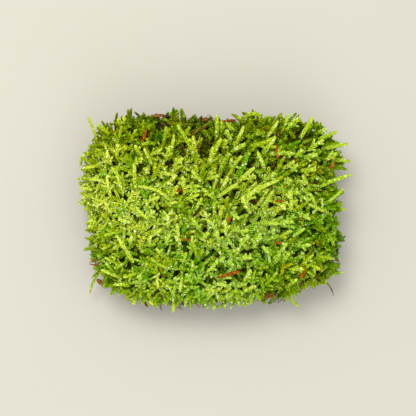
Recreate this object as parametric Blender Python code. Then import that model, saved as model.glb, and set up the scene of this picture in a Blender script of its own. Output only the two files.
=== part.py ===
"""A clump of feather moss, lifted from the ground and cut off flat below.

The living turf is a low plateau of shoots on a mat of dead brown stems. Shoots stand
and lean out of it all over. The ones that show best are solids of their own, rooted in
sockets of the turf, and so are the needles, bud scales and dead stems caught in it.
Tables hold millimetres, +X to the right and +Y to the back, from the middle of the clump.
"""

import math
import random

import bmesh
import bpy
from mathutils import Matrix, Vector, noise

# Driving dimensions in millimetres
MM = 0.001
TURF_WIDTH = 133.0
TURF_DEPTH = 97.0
CROWN_HEIGHT = 32.0
MAT_HEIGHT = 9.0
GAP = 0.3
SHOOT_WIDTH = 2.8
SOCKET_ROOM = 0.35
SEED = 41
CREASE_ANGLE = math.radians(50)

# How finely the lumpy bodies are divided
COLUMNS = 19
ROWS = 14
LUMP_SPACING = 13.0
BROAD_LUMP = 2.4
SMALL_LUMP = 2.8
TUFT_HEIGHT = 1.1
MAT_POINTS = 44
MAT_TUFT = 1.7
EDGE_DROP = 4.5
EDGE_ROUNDING = 0.72
EDGE_SHRINK = 0.965
MAT_SHARE = 0.90

# The standing shoots that grow out of the turf. A shape is (share of the way, share of
# the width) from foot to tip.
TOP_FINGERS = 107
SIDE_FINGERS = 70
FINGER_LENGTH = (9.5, 14.0)
FINGER_WIDTH = (2.9, 3.8)
FINGER_RISE = (0.50, 0.88)
TOP_SHAPE = ((0.26, 0.62), (0.70, 0.55), (1.0, 0.19))
SIDE_SHAPE = ((0.40, 0.60), (1.0, 0.20))
STANDING_SHARE = 0.45
HIGHEST_TIP = 38.6
OVERHANG = 2.5
SIDE_REACH = (4.4, 6.0)
SIDE_RISE = (-0.5, 6.0)
SIDE_SPREAD = 3.4
DRIFT = 0.9
SWIRL = 2.4
SWIRL_SPACING = 30.0
HEADING_SPREAD = 0.7

# The pieces with a solid of their own
TUBE_SIDES = 5
WHORL_LENGTH = 6.0

# Edge of the turf seen from above, as shares of half its width and half its depth
EDGE = [
    (0.965, 0.067), (0.98, -0.263), (0.98, -0.572), (0.942, -0.737), (0.858, -0.83),
    (0.735, -0.80), (0.658, -0.871), (0.565, -0.954), (0.41, -0.933), (0.196, -0.995),
    (-0.073, -1.015), (-0.296, -1.005), (-0.496, -0.974), (-0.71, -0.933),
    (-0.85, -0.83), (-0.927, -0.716), (-0.958, -0.469), (-0.973, -0.19),
    (-0.996, 0.088), (-1.02, 0.356), (-0.988, 0.624), (-0.935, 0.84), (-0.82, 0.923),
    (-0.61, 0.974), (-0.342, 1.026), (-0.11, 0.974), (0.08, 0.923), (0.296, 0.995),
    (0.442, 0.88), (0.658, 0.923), (0.81, 0.84), (0.935, 0.716), (1.01, 0.53),
    (0.95, 0.314),
]

# Rings down the turf's side and the mat's side: share of the edge, and share of the rise
TURF_SIDE = [(1.0, 0.70), (1.0, 0.42), (0.975, 0.17), (0.92, 0.0)]
MAT_SIDE = [(0.93, 0.7), (0.935, 0.35), (0.90, 0.0)]

# Shoots with a solid of their own: root, tip, upward arch, sideways bow, width
LOOSE_SHOOTS = [
    ((-63.0, 35.5, 22.0), (-68.4, 49.3, 27.0), 1.5, 0.5, 1.9),
    ((-64.0, 30.0, 22.0), (-72.3, 23.6, 20.0), 3.0, 2.4, 2.2),
    ((-58.0, 22.3, 27.0), (-70.4, 20.6, 29.0), 1.2, 0.0, 2.3),
    ((-62.0, 16.4, 20.0), (-72.2, 11.4, 23.0), 1.0, 0.0, 1.7),
    ((-9.5, 25.3, 28.5), (-19.6, 42.2, 39.0), 0.8, 0.4, 3.0),
    ((-24.6, 24.6, 28.0), (-21.4, 37.4, 35.5), 1.0, 0.4, 2.6),
    ((1.3, 36.3, 26.0), (1.3, 48.6, 35.0), 1.2, 0.0, 2.8),
    ((10.8, 31.5, 28.0), (15.5, 41.8, 37.5), 0.6, 0.0, 2.8),
    ((-3.4, 22.6, 28.5), (3.4, 35.0, 38.5), 0.6, 0.0, 3.4),
    ((26.8, 36.2, 28.0), (33.8, 45.0, 36.0), 1.0, 0.4, 2.6),
    ((35.8, 39.8, 25.0), (39.4, 49.4, 33.0), 1.0, 0.5, 2.5),
    ((45.6, 36.4, 28.0), (52.4, 47.2, 35.4), 0.8, 0.0, 3.2),
    ((55.6, 36.6, 26.5), (65.4, 40.0, 31.6), 0.8, 0.0, 2.9),
    ((56.8, 31.4, 26.5), (71.2, 33.4, 31.5), 0.8, 0.0, 2.8),
    ((60.8, 26.6, 21.0), (73.4, 25.4, 22.0), 2.6, 0.0, 2.6),
    ((55.2, 10.4, 28.0), (72.4, 16.5, 33.5), 0.8, -0.5, 2.8),
    ((58.6, 1.6, 25.0), (68.3, 9.4, 29.5), 0.8, 0.4, 2.3),
    ((13.4, 3.4, 29.0), (33.8, 12.9, 39.0), 1.2, -0.6, 3.0),
    ((1.4, 4.8, 29.0), (12.1, 11.2, 38.5), 0.8, 0.0, 2.7),
    ((27.2, 19.4, 29.0), (22.6, 27.8, 38.5), 0.5, 0.0, 2.7),
    ((50.4, 9.4, 28.5), (46.2, 15.6, 37.0), 0.4, 0.0, 2.6),
    ((54.6, -1.6, 28.0), (50.2, 6.0, 36.5), 0.4, 0.0, 2.3),
    ((-22.5, 1.9, 29.0), (-40.3, 9.8, 36.5), 1.4, 2.2, 2.4),
    ((-32.9, 21.9, 29.0), (-37.1, 29.6, 38.0), 0.4, 0.0, 2.7),
    ((-42.7, -29.9, 28.5), (-51.1, -16.2, 37.5), 0.8, 0.0, 2.8),
    ((-49.6, -37.9, 27.0), (-59.2, -33.8, 33.0), 0.8, 0.0, 2.5),
    ((53.6, -42.4, 12.0), (69.6, -34.0, 15.5), 0.6, -2.4, 2.2),
    ((-21.6, -45.5, 19.5), (-22.0, -55.7, 22.5), 0.8, 0.0, 2.9),
    ((37.4, -45.4, 15.0), (44.8, -52.4, 17.5), 0.8, 0.0, 2.3),
    ((26.0, 44.0, 23.5), (14.6, 47.0, 29.0), 2.4, 5.2, 2.5),
    ((-61.0, -32.6, 12.0), (-67.6, -45.2, 9.0), 0.8, 1.2, 1.2),
    ((62.0, 0.0, 19.0), (70.4, -0.6, 22.0), 0.8, 0.0, 2.3),
    ((41.2, -16.3, 29.0), (47.0, -12.4, 37.0), 0.4, 0.0, 2.5),
]

# Needles and bud scales lying in the moss: name, ends, width, thickness
LITTER = [
    ("bud_scale", (-35.9, 41.2, 34.0), (-38.1, 34.5, 32.6), 1.9, 0.8),
    ("needle", (-22.9, 40.4, 33.0), (-27.4, 36.8, 33.6), 1.1, 0.7),
    ("bud_scale", (32.7, 32.6, 34.2), (33.7, 24.8, 33.6), 2.2, 0.9),
    ("needle", (40.7, 25.2, 33.4), (44.4, 22.2, 34.0), 1.3, 0.8),
    ("bud_scale", (64.4, 24.0, 29.6), (61.2, 20.0, 30.4), 1.6, 0.8),
    ("needle", (13.0, 48.2, 22.8), (3.4, 47.0, 23.4), 1.7, 0.9),
    ("bud_scale", (8.2, -5.7, 34.0), (7.0, -9.4, 33.6), 1.5, 0.8),
    ("needle", (0.3, -38.2, 33.4), (13.6, -34.5, 34.0), 2.2, 1.1),
    ("needle", (31.1, -19.8, 34.0), (36.5, -19.8, 33.8), 1.4, 0.8),
    ("needle", (31.8, 2.1, 34.0), (36.5, 2.7, 34.2), 1.4, 0.8),
    ("needle", (-17.4, -18.0, 34.0), (-12.0, -18.2, 34.0), 1.1, 0.7),
    ("bud_scale", (48.2, -33.6, 31.6), (45.0, -38.1, 31.0), 1.9, 0.9),
    ("bud_scale", (-21.4, 7.6, 33.8), (-17.6, 8.8, 34.0), 2.4, 0.9),
    ("leaf_scrap", (25.6, -47.2, 19.0), (32.4, -46.6, 20.4), 2.9, 0.9),
    ("needle", (-68.0, -29.4, 13.6), (-61.2, -30.4, 14.6), 1.1, 0.8),
    ("leaf_scrap", (-63.6, -37.6, 13.4), (-59.0, -41.4, 14.6), 2.5, 0.9),
    ("leaf_scrap", (-34.0, 50.6, 20.4), (-27.2, 51.2, 21.0), 2.0, 0.9),
    ("leaf_scrap", (-9.0, 49.2, 18.4), (-1.8, 48.0, 18.8), 3.2, 1.0),
]

# Dead brown stems: ends, upward arch, sideways bow, width
DEAD_STEMS = [
    ((-7.8, 37.2, 33.6), (-8.6, 30.4, 31.4), 0.6, 0.2, 1.0),
    ((-3.8, 43.2, 29.4), (-13.8, 37.0, 30.4), 0.9, 0.3, 1.0),
    ((52.4, -21.9, 33.2), (48.0, -30.3, 33.0), 0.8, 0.3, 1.1),
    ((57.5, -36.6, 5.0), (65.2, -45.8, 4.6), 0.8, -1.6, 1.4),
    ((62.6, -20.6, 13.0), (67.8, -29.2, 15.0), 0.8, 0.6, 1.3),
]

# Colour and roughness of each kind of piece
FINISHES = {
    "moss": ((0.18, 0.31, 0.02, 1.0), 0.45),
    "dead_moss": ((0.14, 0.085, 0.03, 1.0), 0.85),
    "stem": ((0.16, 0.07, 0.025, 1.0), 0.7),
    "bud_scale": ((0.52, 0.15, 0.03, 1.0), 0.5),
    "needle": ((0.44, 0.14, 0.04, 1.0), 0.55),
    "leaf_scrap": ((0.24, 0.13, 0.05, 1.0), 0.75),
}


def clear_scene():
    for thing in list(bpy.data.objects):
        bpy.data.objects.remove(thing, do_unlink=True)


def finish_for(kind):
    """The material for a kind of piece, made once."""
    found = bpy.data.materials.get(kind)
    if found:
        return found
    colour, roughness = FINISHES[kind]
    material = bpy.data.materials.new(kind)
    material.use_nodes = True
    shader = material.node_tree.nodes["Principled BSDF"]
    shader.inputs["Base Color"].default_value = colour
    shader.inputs["Roughness"].default_value = roughness
    shader.inputs["Metallic"].default_value = 0.0
    material.diffuse_color = colour
    return material


def edge_point(turn):
    """A point on the turf's edge, turn from 0 to 1 round it: a closed Catmull-Rom curve."""
    count = len(EDGE)
    place = (turn % 1.0) * count
    first = int(place)
    t = place - first
    a, b, c, d = (Vector(EDGE[(first + step) % count]) for step in (-1, 0, 1, 2))
    bend = 2 * a - 5 * b + 4 * c - d
    twist = 3 * (b - c) + d - a
    point = 0.5 * (2 * b + (c - a) * t + bend * t * t + twist * t ** 3)
    return Vector((point.x * TURF_WIDTH / 2, point.y * TURF_DEPTH / 2))


EDGE_SAMPLES = sorted(
    (math.atan2(point.y, point.x), point.length)
    for point in (edge_point(step / 200) for step in range(200))
)


def lump(point):
    """How far the turf's skin stands out at a point, from broad cushions and small tufts."""
    broad = noise.noise(point / (2 * LUMP_SPACING))
    small = noise.noise(point / LUMP_SPACING + Vector((7.3, 1.9, 4.1)))
    return BROAD_LUMP * broad + SMALL_LUMP * small


def edge_reach(angle):
    """How far the turf's edge is from the middle in a direction."""
    before = max((s for s in EDGE_SAMPLES if s[0] <= angle), default=EDGE_SAMPLES[-1])
    after = min((s for s in EDGE_SAMPLES if s[0] > angle), default=EDGE_SAMPLES[0])
    span = (after[0] - before[0]) % (2 * math.pi)
    t = ((angle - before[0]) % (2 * math.pi)) / span
    return before[1] + t * (after[1] - before[1])


def put_at_edge(vert, angle, share, height):
    """Moves a vertex to a share of the way to the edge, in a direction."""
    reach = share * edge_reach(angle)
    vert.co = (reach * math.cos(angle), reach * math.sin(angle), height)


def drop_sides(bm, rim, rings, low, high):
    """Draws the open rim down through rings from high to low, and closes the underside."""
    for share, rise in rings:
        drawn = bmesh.ops.extrude_edge_only(bm, edges=rim)["geom"]
        for vert in [item for item in drawn if isinstance(item, bmesh.types.BMVert)]:
            angle = math.atan2(vert.co.y, vert.co.x)
            put_at_edge(vert, angle, share, low + rise * (high - low))
        rim = [item for item in drawn if isinstance(item, bmesh.types.BMEdge)]
    bmesh.ops.edgeloop_fill(bm, edges=rim)
    bmesh.ops.recalc_face_normals(bm, faces=bm.faces)
    bm.normal_update()


def add_lumps(bm, low, high, tuft_height, rng):
    """Pushes the skin between two heights in and out, in lumps and in small tufts."""
    for vert in [v for v in bm.verts if low < v.co.z < high]:
        tuft = rng.uniform(-tuft_height, tuft_height)
        vert.co += vert.normal * (lump(vert.co) + tuft)
    bm.normal_update()


def turf_body(rng):
    """The plateau that the shoots grow from: a lumpy crown with rounded edges."""
    bm = bmesh.new()
    bmesh.ops.create_grid(bm, x_segments=COLUMNS, y_segments=ROWS, size=1.0)
    for vert in bm.verts:
        share = max(abs(vert.co.x), abs(vert.co.y))
        angle = math.atan2(vert.co.y * TURF_DEPTH, vert.co.x * TURF_WIDTH)
        over = max(0.0, share - EDGE_ROUNDING) / (1 - EDGE_ROUNDING)
        put_at_edge(vert, angle, share * EDGE_SHRINK, CROWN_HEIGHT - EDGE_DROP * over ** 2)
    rim = [edge for edge in bm.edges if edge.is_boundary]
    low = MAT_HEIGHT + GAP
    drop_sides(bm, rim, TURF_SIDE, low, CROWN_HEIGHT)
    add_lumps(bm, low + GAP, 2 * CROWN_HEIGHT, TUFT_HEIGHT, rng)
    return bm


def mat_body():
    """The pad of dead stems, flat where it was cut off the ground."""
    bm = bmesh.new()
    bmesh.ops.create_circle(bm, cap_ends=True, segments=MAT_POINTS, radius=1.0)
    for vert in bm.verts:
        put_at_edge(vert, math.atan2(vert.co.y, vert.co.x), MAT_SHARE, MAT_HEIGHT)
    drop_sides(bm, list(bm.edges), MAT_SIDE, 0.0, MAT_HEIGHT)
    add_lumps(bm, GAP, MAT_HEIGHT - GAP, MAT_TUFT, random.Random(SEED))
    return bm


def add_object(name, kind, bm):
    """An object of the mesh in bm, which is in millimetres, shaded smooth but for its creases."""
    bmesh.ops.scale(bm, vec=(MM, MM, MM), verts=bm.verts)
    mesh = bpy.data.meshes.new(name)
    bm.to_mesh(mesh)
    bm.free()
    mesh.shade_smooth()
    mesh.set_sharp_from_angle(angle=CREASE_ANGLE)
    thing = bpy.data.objects.new(name, mesh)
    bpy.context.scene.collection.objects.link(thing)
    mesh.materials.append(finish_for(kind))
    return thing


def hide_helper(thing):
    thing.hide_render = True
    thing.display_type = "WIRE"


class Spine:
    """A stem's middle line: a smooth bend in one plane from root to tip."""

    def __init__(self, root, middle, tip):
        self.root = Vector(root)
        self.middle = Vector(middle)
        self.tip = Vector(tip)
        along = self.tip - self.root
        self.length = along.length
        level = along.cross(Vector((0, 0, 1)))
        bent = along.cross(self.middle - self.root)
        if bent.length < 0.05 * self.length:
            bent = level
        self.side = bent.normalized()

    def at(self, t):
        a, b, c = (1 - t) ** 2, 2 * t * (1 - t), t * t
        return a * self.root + b * self.middle + c * self.tip

    def forward(self, t):
        way = (1 - t) * (self.middle - self.root) + t * (self.tip - self.middle)
        return way.normalized()

    def points(self, count=7):
        return [self.at(step / (count - 1)) for step in range(count)]


def arched(root, tip, arch, bow=0.0):
    """A spine that stands up from its chord by arch at mid-length, and aside by bow."""
    start, end = Vector(root), Vector(tip)
    along = end - start
    aside = along.cross(Vector((0, 0, 1))).normalized()
    upward = aside.cross(along).normalized()
    return Spine(start, (start + end) / 2 + 2 * (arch * upward + bow * aside), end)


def risen(root, normal, tip):
    """A spine that leaves a surface squarely and then leans over to its tip."""
    reach = (tip - root).length
    return Spine(root, root + STANDING_SHARE * reach * normal, tip)


def edges_of(ring):
    """The edges at a ring's vertices, each once and in their order round it."""
    return list(dict.fromkeys(edge for vert in ring for edge in vert.link_edges))


def add_tube(bm, spine, stations, sides, flatness=1.0):
    """A closed tube along spine. stations are (share of the way, width) pairs."""
    loops = []
    for t, width in stations:
        forward = spine.forward(min(max(t, 0.0), 1.0))
        side = spine.side
        up = forward.cross(side).normalized()
        turn = Matrix((side, up, forward)).transposed().to_4x4()
        place = spine.at(t)
        squeeze = Matrix.Diagonal((1.0, flatness, 1.0, 1.0))
        ring = bmesh.ops.create_circle(
            bm,
            segments=sides,
            radius=width / 2,
            matrix=Matrix.Translation(place) @ turn @ squeeze,
        )["verts"]
        loops.append(edges_of(ring))
    for lower, upper in zip(loops, loops[1:]):
        bmesh.ops.bridge_loops(bm, edges=lower + upper)
    bmesh.ops.edgeloop_fill(bm, edges=loops[0])
    bmesh.ops.edgeloop_fill(bm, edges=loops[-1])
    body = dict.fromkeys(f for edges in loops for edge in edges for f in edge.link_faces)
    bmesh.ops.recalc_face_normals(bm, faces=list(body))


def leafy_stations(length, width):
    """A leafy shoot's widths: a slim foot, whorls of overlapping leaves, a blunt tip."""
    whorls = max(2, round(length / WHORL_LENGTH))
    stations = [(0.0, 0.62 * width)]
    for whorl in range(whorls):
        start = 0.06 + 0.80 * whorl / whorls
        end = 0.06 + 0.80 * (whorl + 0.78) / whorls
        taper = 1.0 - 0.22 * (whorl / whorls) ** 2
        stations.append((start, 0.80 * taper * width))
        stations.append((end, 1.06 * taper * width))
    stations.append((0.94, 0.52 * width))
    stations.append((1.0, 0.20 * width))
    return stations


def plain_stations(width):
    """A bare stem's widths: a little thinner towards its broken tip."""
    return [(0.0, width), (0.5, width), (0.86, 0.78 * width), (1.0, 0.6 * width)]


def even_stations(width, count=6):
    """The same width from end to end."""
    return [(step / (count - 1), width) for step in range(count)]


def spindle_stations(width):
    """Widths of a needle or a scale: thin at both ends."""
    return [(0.0, 0.22 * width), (0.3, 0.92 * width), (0.65, width), (1.0, 0.16 * width)]


def with_room(stations, length):
    """The stations of a socket for a piece: wider all over, and longer at both ends."""
    more = SOCKET_ROOM / length
    wider = [(t, width + 2 * SOCKET_ROOM) for t, width in stations]
    wider[0] = (-more, wider[0][1])
    wider[-1] = (1.0 + more, wider[-1][1])
    return wider


def spine_gap(first, second):
    """A short distance between two spines, measured point to point."""
    return min((p - q).length for p in first.points(9) for q in second.points(9))


def clear_of(spine, others, room):
    return all(spine_gap(spine, other) > room for other in others)


def lean_at(x, y, rng):
    """Which way the standing shoots lean: out over the edge, and to the back and right."""
    outward = math.atan2(y / TURF_DEPTH, x / TURF_WIDTH)
    place = Vector((x, y, 2 * SWIRL_SPACING)) / SWIRL_SPACING
    drift = DRIFT + SWIRL * noise.noise(place)
    pull = min(1.0, abs(2 * x / TURF_WIDTH) ** 6 + abs(2 * y / TURF_DEPTH) ** 6)
    way = Vector((math.cos(drift), math.sin(drift))) * (1 - pull)
    way += Vector((math.cos(outward), math.sin(outward))) * pull
    return math.atan2(way.y, way.x) + rng.uniform(-HEADING_SPREAD, HEADING_SPREAD)


def top_finger(root, normal, rng):
    """The middle line of one standing shoot on the crown."""
    heading = lean_at(root.x, root.y, rng)
    length = rng.uniform(*FINGER_LENGTH)
    rise = rng.uniform(*FINGER_RISE)
    way = Vector((math.cos(heading), math.sin(heading), 0.0))
    tip = root + way * length * math.sqrt(1 - rise * rise)
    tip.z = min(root.z + length * rise, HIGHEST_TIP)
    past = math.hypot(tip.x, tip.y) - edge_reach(math.atan2(tip.y, tip.x)) - OVERHANG
    tip -= way * max(0.0, past)
    return risen(root, normal, tip)


def side_finger(root, normal, rng):
    """The middle line of one shoot that leans out of the turf's side."""
    outward = Vector((normal.x, normal.y, 0.0)).normalized()
    along = Vector((-outward.y, outward.x, 0.0)) * rng.uniform(-SIDE_SPREAD, SIDE_SPREAD)
    tip = root + outward * rng.uniform(*SIDE_REACH) + along
    tip.z += rng.uniform(*SIDE_RISE)
    return risen(root, normal, tip)


def raise_finger(bm, face, spine, width, shape):
    """Draws one face of the turf out along spine: a broad foot, then a tapering shoot."""
    side, up = spine.side, spine.forward(0.0).cross(spine.side)
    turns = []
    for vert in face.verts:
        offset = vert.co - spine.root
        turns.append(math.atan2(offset.dot(up), offset.dot(side)))
    for t, share in shape:
        face = bmesh.ops.extrude_discrete_faces(bm, faces=[face])["faces"][0]
        up = spine.forward(t).cross(side)
        for vert, turn in zip(face.verts, turns):
            around = math.cos(turn) * side + math.sin(turn) * up
            vert.co = spine.at(t) + around * share * width


def place_order(face):
    """A key that puts faces in the same order each run, whatever order they were made in."""
    return [round(value, 3) for value in face.calc_center_median()]


def grow_fingers(bm, faces, maker, shape, wanted, taken, rng):
    """Raises shoots from a random choice of faces, all of them clear of those in taken."""
    faces.sort(key=place_order)
    rng.shuffle(faces)
    grown = 0
    for face in faces:
        spine = maker(face.calc_center_median(), face.normal, rng)
        width = rng.uniform(*FINGER_WIDTH)
        room = 0.62 * width + SHOOT_WIDTH / 2 + 2 * SOCKET_ROOM
        if grown == wanted or not clear_of(spine, taken, room):
            continue
        raise_finger(bm, face, spine, width, shape)
        taken.append(spine)
        grown += 1


def cut_sockets(thing, sockets):
    cut = thing.modifiers.new("sockets", "BOOLEAN")
    cut.operation = "DIFFERENCE"
    cut.solver = "EXACT"
    cut.use_self = True
    cut.object = sockets


def make_loose_shoots():
    """One object for each shoot of the table, and their spines and stations."""
    made = []
    for number, (root, tip, arch, bow, width) in enumerate(LOOSE_SHOOTS, 1):
        spine = arched(root, tip, arch, bow)
        stations = leafy_stations(spine.length, width)
        bm = bmesh.new()
        add_tube(bm, spine, stations, TUBE_SIDES)
        add_object(f"loose_shoot_{number:02d}", "moss", bm)
        made.append((spine, even_stations(1.06 * width), 1.0))
    return made


def make_litter():
    """One object for each needle, bud scale and scrap of leaf."""
    made = []
    counts = {}
    for kind, start, end, width, thickness in LITTER:
        counts[kind] = counts.get(kind, 0) + 1
        spine = arched(start, end, 0.25 * thickness)
        stations = spindle_stations(width)
        bm = bmesh.new()
        add_tube(bm, spine, stations, TUBE_SIDES, thickness / width)
        add_object(f"{kind}_{counts[kind]:02d}", kind, bm)
        made.append((spine, stations, (thickness + 0.3) / width))
    return made


def make_dead_stems():
    made = []
    for number, (root, tip, arch, bow, width) in enumerate(DEAD_STEMS, 1):
        spine = arched(root, tip, arch, bow)
        stations = plain_stations(width)
        bm = bmesh.new()
        add_tube(bm, spine, stations, TUBE_SIDES)
        add_object(f"dead_stem_{number:02d}", "stem", bm)
        made.append((spine, stations, 1.0))
    return made


def make_socket_cutter(pieces):
    """One hidden mesh of all the sockets."""
    bm = bmesh.new()
    for spine, stations, flatness in pieces:
        add_tube(bm, spine, with_room(stations, spine.length), TUBE_SIDES, flatness)
    cutter = add_object("socket_cutter", "stem", bm)
    hide_helper(cutter)
    return cutter


def make_turf(taken):
    """The turf with its standing shoots, which keep clear of the pieces in taken."""
    rng = random.Random(SEED)
    bm = turf_body(rng)
    quads = [face for face in bm.faces if len(face.verts) == 4]
    top = [face for face in quads if face.normal.z > 0.6]
    side = [face for face in quads if -0.6 < face.normal.z <= 0.6]
    grow_fingers(bm, top, top_finger, TOP_SHAPE, TOP_FINGERS, taken, rng)
    grow_fingers(bm, side, side_finger, SIDE_SHAPE, SIDE_FINGERS, taken, rng)
    return add_object("moss_turf", "moss", bm)


def centre_meshes():
    """Moves every mesh alike, so that the clump's box is centred on the origin."""
    meshes = [thing.data for thing in bpy.data.objects]
    middle = Vector()
    for axis in (0, 1):
        values = [v.co[axis] for mesh in meshes for v in mesh.vertices]
        middle[axis] = (min(values) + max(values)) / 2
    for mesh in meshes:
        mesh.transform(Matrix.Translation(-middle))


def main():
    clear_scene()
    pieces = make_loose_shoots() + make_litter() + make_dead_stems()
    sockets = make_socket_cutter(pieces)
    turf = make_turf([spine for spine, _, _ in pieces])
    mat = add_object("brown_mat", "dead_moss", mat_body())
    centre_meshes()
    cut_sockets(turf, sockets)
    cut_sockets(mat, sockets)


main()
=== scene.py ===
"""A clump of feather moss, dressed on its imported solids.

The turf is made of leafy shoots. Each shoot is a thin stem with small keeled leaves that
overlap like tiles. Shoots of one part of the turf are joined in one mesh. Lengths in this
file are millimetres unless a name says otherwise, and places go from the clump's middle,
+X to the right and +Y to the back. Tables that say pixels hold places in the 416 pixel
picture, which from_picture() turns into millimetres.
"""

import math
from functools import partial
from itertools import product

import bmesh
import bpy
import numpy as np
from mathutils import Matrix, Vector, noise
from mathutils.bvhtree import BVHTree


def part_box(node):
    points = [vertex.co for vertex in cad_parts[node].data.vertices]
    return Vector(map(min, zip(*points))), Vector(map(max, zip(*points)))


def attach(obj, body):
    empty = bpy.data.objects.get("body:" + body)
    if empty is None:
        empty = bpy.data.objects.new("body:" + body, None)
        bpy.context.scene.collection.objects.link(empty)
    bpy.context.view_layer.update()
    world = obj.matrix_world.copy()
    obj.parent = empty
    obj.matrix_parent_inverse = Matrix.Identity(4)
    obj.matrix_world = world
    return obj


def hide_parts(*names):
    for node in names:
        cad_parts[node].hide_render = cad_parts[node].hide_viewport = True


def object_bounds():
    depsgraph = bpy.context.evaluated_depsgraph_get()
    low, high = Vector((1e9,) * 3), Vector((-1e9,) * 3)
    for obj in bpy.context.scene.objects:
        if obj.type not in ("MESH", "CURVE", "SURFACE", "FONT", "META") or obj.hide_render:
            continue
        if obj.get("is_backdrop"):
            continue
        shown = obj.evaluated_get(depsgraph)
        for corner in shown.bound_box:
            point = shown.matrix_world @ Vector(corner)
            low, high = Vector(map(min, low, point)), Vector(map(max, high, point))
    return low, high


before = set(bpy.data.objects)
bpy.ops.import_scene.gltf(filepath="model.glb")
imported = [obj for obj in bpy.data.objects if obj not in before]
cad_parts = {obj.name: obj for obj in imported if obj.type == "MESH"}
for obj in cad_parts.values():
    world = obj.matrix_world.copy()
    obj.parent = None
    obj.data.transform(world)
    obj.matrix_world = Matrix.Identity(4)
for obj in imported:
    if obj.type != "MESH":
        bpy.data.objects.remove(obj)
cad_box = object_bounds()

# Sizes of the picture and of the clump in it
MM = 0.001
SEED = 17
PIXEL = 0.53
PICTURE_MIDDLE = (215.3, 208.1)
PICTURE_SIZE = 416

# Camera, lights and floor
CAMERA_ELEVATION = 83.0
CAMERA_DISTANCE = 600.0
CAMERA_AIM = (-3.9, 0.0, 30.0)
SENSOR = 36.0
SKY_STRENGTH = 2.44
KEY_WATTS = 7.6
FILL_WATTS = 3.6
FLOOR_REACH = 4000.0

# The leaves of a shoot of usual width. A slimmer shoot's leaves are a little smaller.
USUAL_WIDTH = 2.4
LEAF_SIZING = 0.35
LEAF_LENGTH = 1.75
LEAF_HALF_WIDTH = 0.72
LEAF_STEP = 0.19
LEAST_LEAVES = 6
LEAF_FULLNESS = 0.85
KEEL = 0.16
CLASP = 0.20
CURL = 0.16
STEM_SHARE = 0.17

# How the leaves stand off their stem, close in at its tip, and vary
LEAF_STAND = 0.38
TIP_STAND = 0.25
CLOSES_FROM = 0.62
TIP_TAPER = 0.36
GOLDEN_TURN = math.radians(137.508)
ANY_TURN = 6.28
LEAF_SWING = 0.14
SPREAD_SWING = 0.10
FAR_SIDE = -0.36
LEAF_LEVEL = (0.12, 0.21, 0.97)
TUBE_LEVEL = (0.31, 0.17, 0.93)

# How many sides a leaf has
COARSE = 4
USUAL = 6
FINE = 8

# The lightness of leaves, with their painted glints, and of shoots that lie under or over others:
# painted shadow near shoots that lie over the turf, painted light on shoots that stand clear, painted
# shade on shoots laid back under litter
PAINTED_GLINT = 0.34
PAINTED_GLINT_SHARE = 0.07
LIGHTEST_LEAF = 0.91
LEAF_CONTRAST = 0.07
CLEAR_LIGHT = 0.51
COVER_SHADE = 0.20
COVER_REACH = 2.8
COVER_ROOM = 2.2
CROWDED = 0.3
TUCKED_SHADE = 0.14
PATCH_SIZE = 8.0
PATCH_LIGHT = 0.16
PATCH_GREEN = 0.50

# The colour chart that the leaves are laid out on, and the sockets of a colour mix
CHART = 8
CHART_EDGE = 0.07
CHART_MAP = "OFBake"
PALENESS = 0.14
BRIGHT_POWER = 6.0
LEAF_STOPS = (0.0, 0.3, 0.64, 0.86, 1.0)
DRY_STOPS = (0.0, 0.35, 0.7, 1.0)
HALVES = (0.0, 0.5, 1.0)
MIX_A = 6
MIX_B = 7
MIXED = 2

# The shoots of the turf's top
TOP_SPACING = 2.8
TOP_FLOOR = 21.0
THINNED = 0.62
NARROW_SHOOT = 1.6
RELIEF = 2.6
RELIEF_SPACING = 11.0
SLOPE_REACH = 3.0
DOWNHILL = 1.1
HEADING_SPREAD = 0.74
DEEPEST_DROP = 7.0
TIP_ABOVE_SKIN = (0.2, 3.6)
ROOT_BELOW_SKIN = 5.5
HIGHEST_TIP = 38.8
BRANCH_TURN = math.radians(48)
BRANCHED_SHARE = 0.30
FEATHERED_BELOW = 2.15
FEATHERED_SHARE = 0.55
COLUMN = 33.0

# The shoots below them, over them and at the sides
UNDER_SPACING = 3.4
UNDER_FLOOR = 22.0
UNDER_DEPTH = 3.0
GAP_DEPTH = 3.4
SHOWN_RISE = 5.4
LOWEST_ROOT = 12.0
ACCENT_SPACING = 7.6
ACCENT_CLEARANCE = 4.2
ACCENT_FLOOR = 24.0
SIDE_SPACING = 3.3
SIDE_GIRTH = 380
FRINGE_SPACING = 9.0
DROOP_BELOW = 14.5
DROOP_SHARE = 0.28
TUCKED_REACH = 0.9

# The turf's skin and heart, the mat and the litter
SKIN_STEP = 1.5
SKIN_FLOOR = 9.0
HEART_INSET = 4.0
HEART_DEPTH = 7.4
PAD_TOP = 8.6
MAT_STEMS = 1200
LITTER_LEVEL = 20.0
BARE_SHARE = 0.85
LEAST_WIDTH = 0.8
CRUMB_SHARE = 0.4
EDGE_BIT = (1.6, 6.5)
GAP_BIT = (1.4, 3.8)
GAP_BITS = 3
GAP_BIT_LIGHT = 0.38
GREEN_GAPS = 0.6
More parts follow.
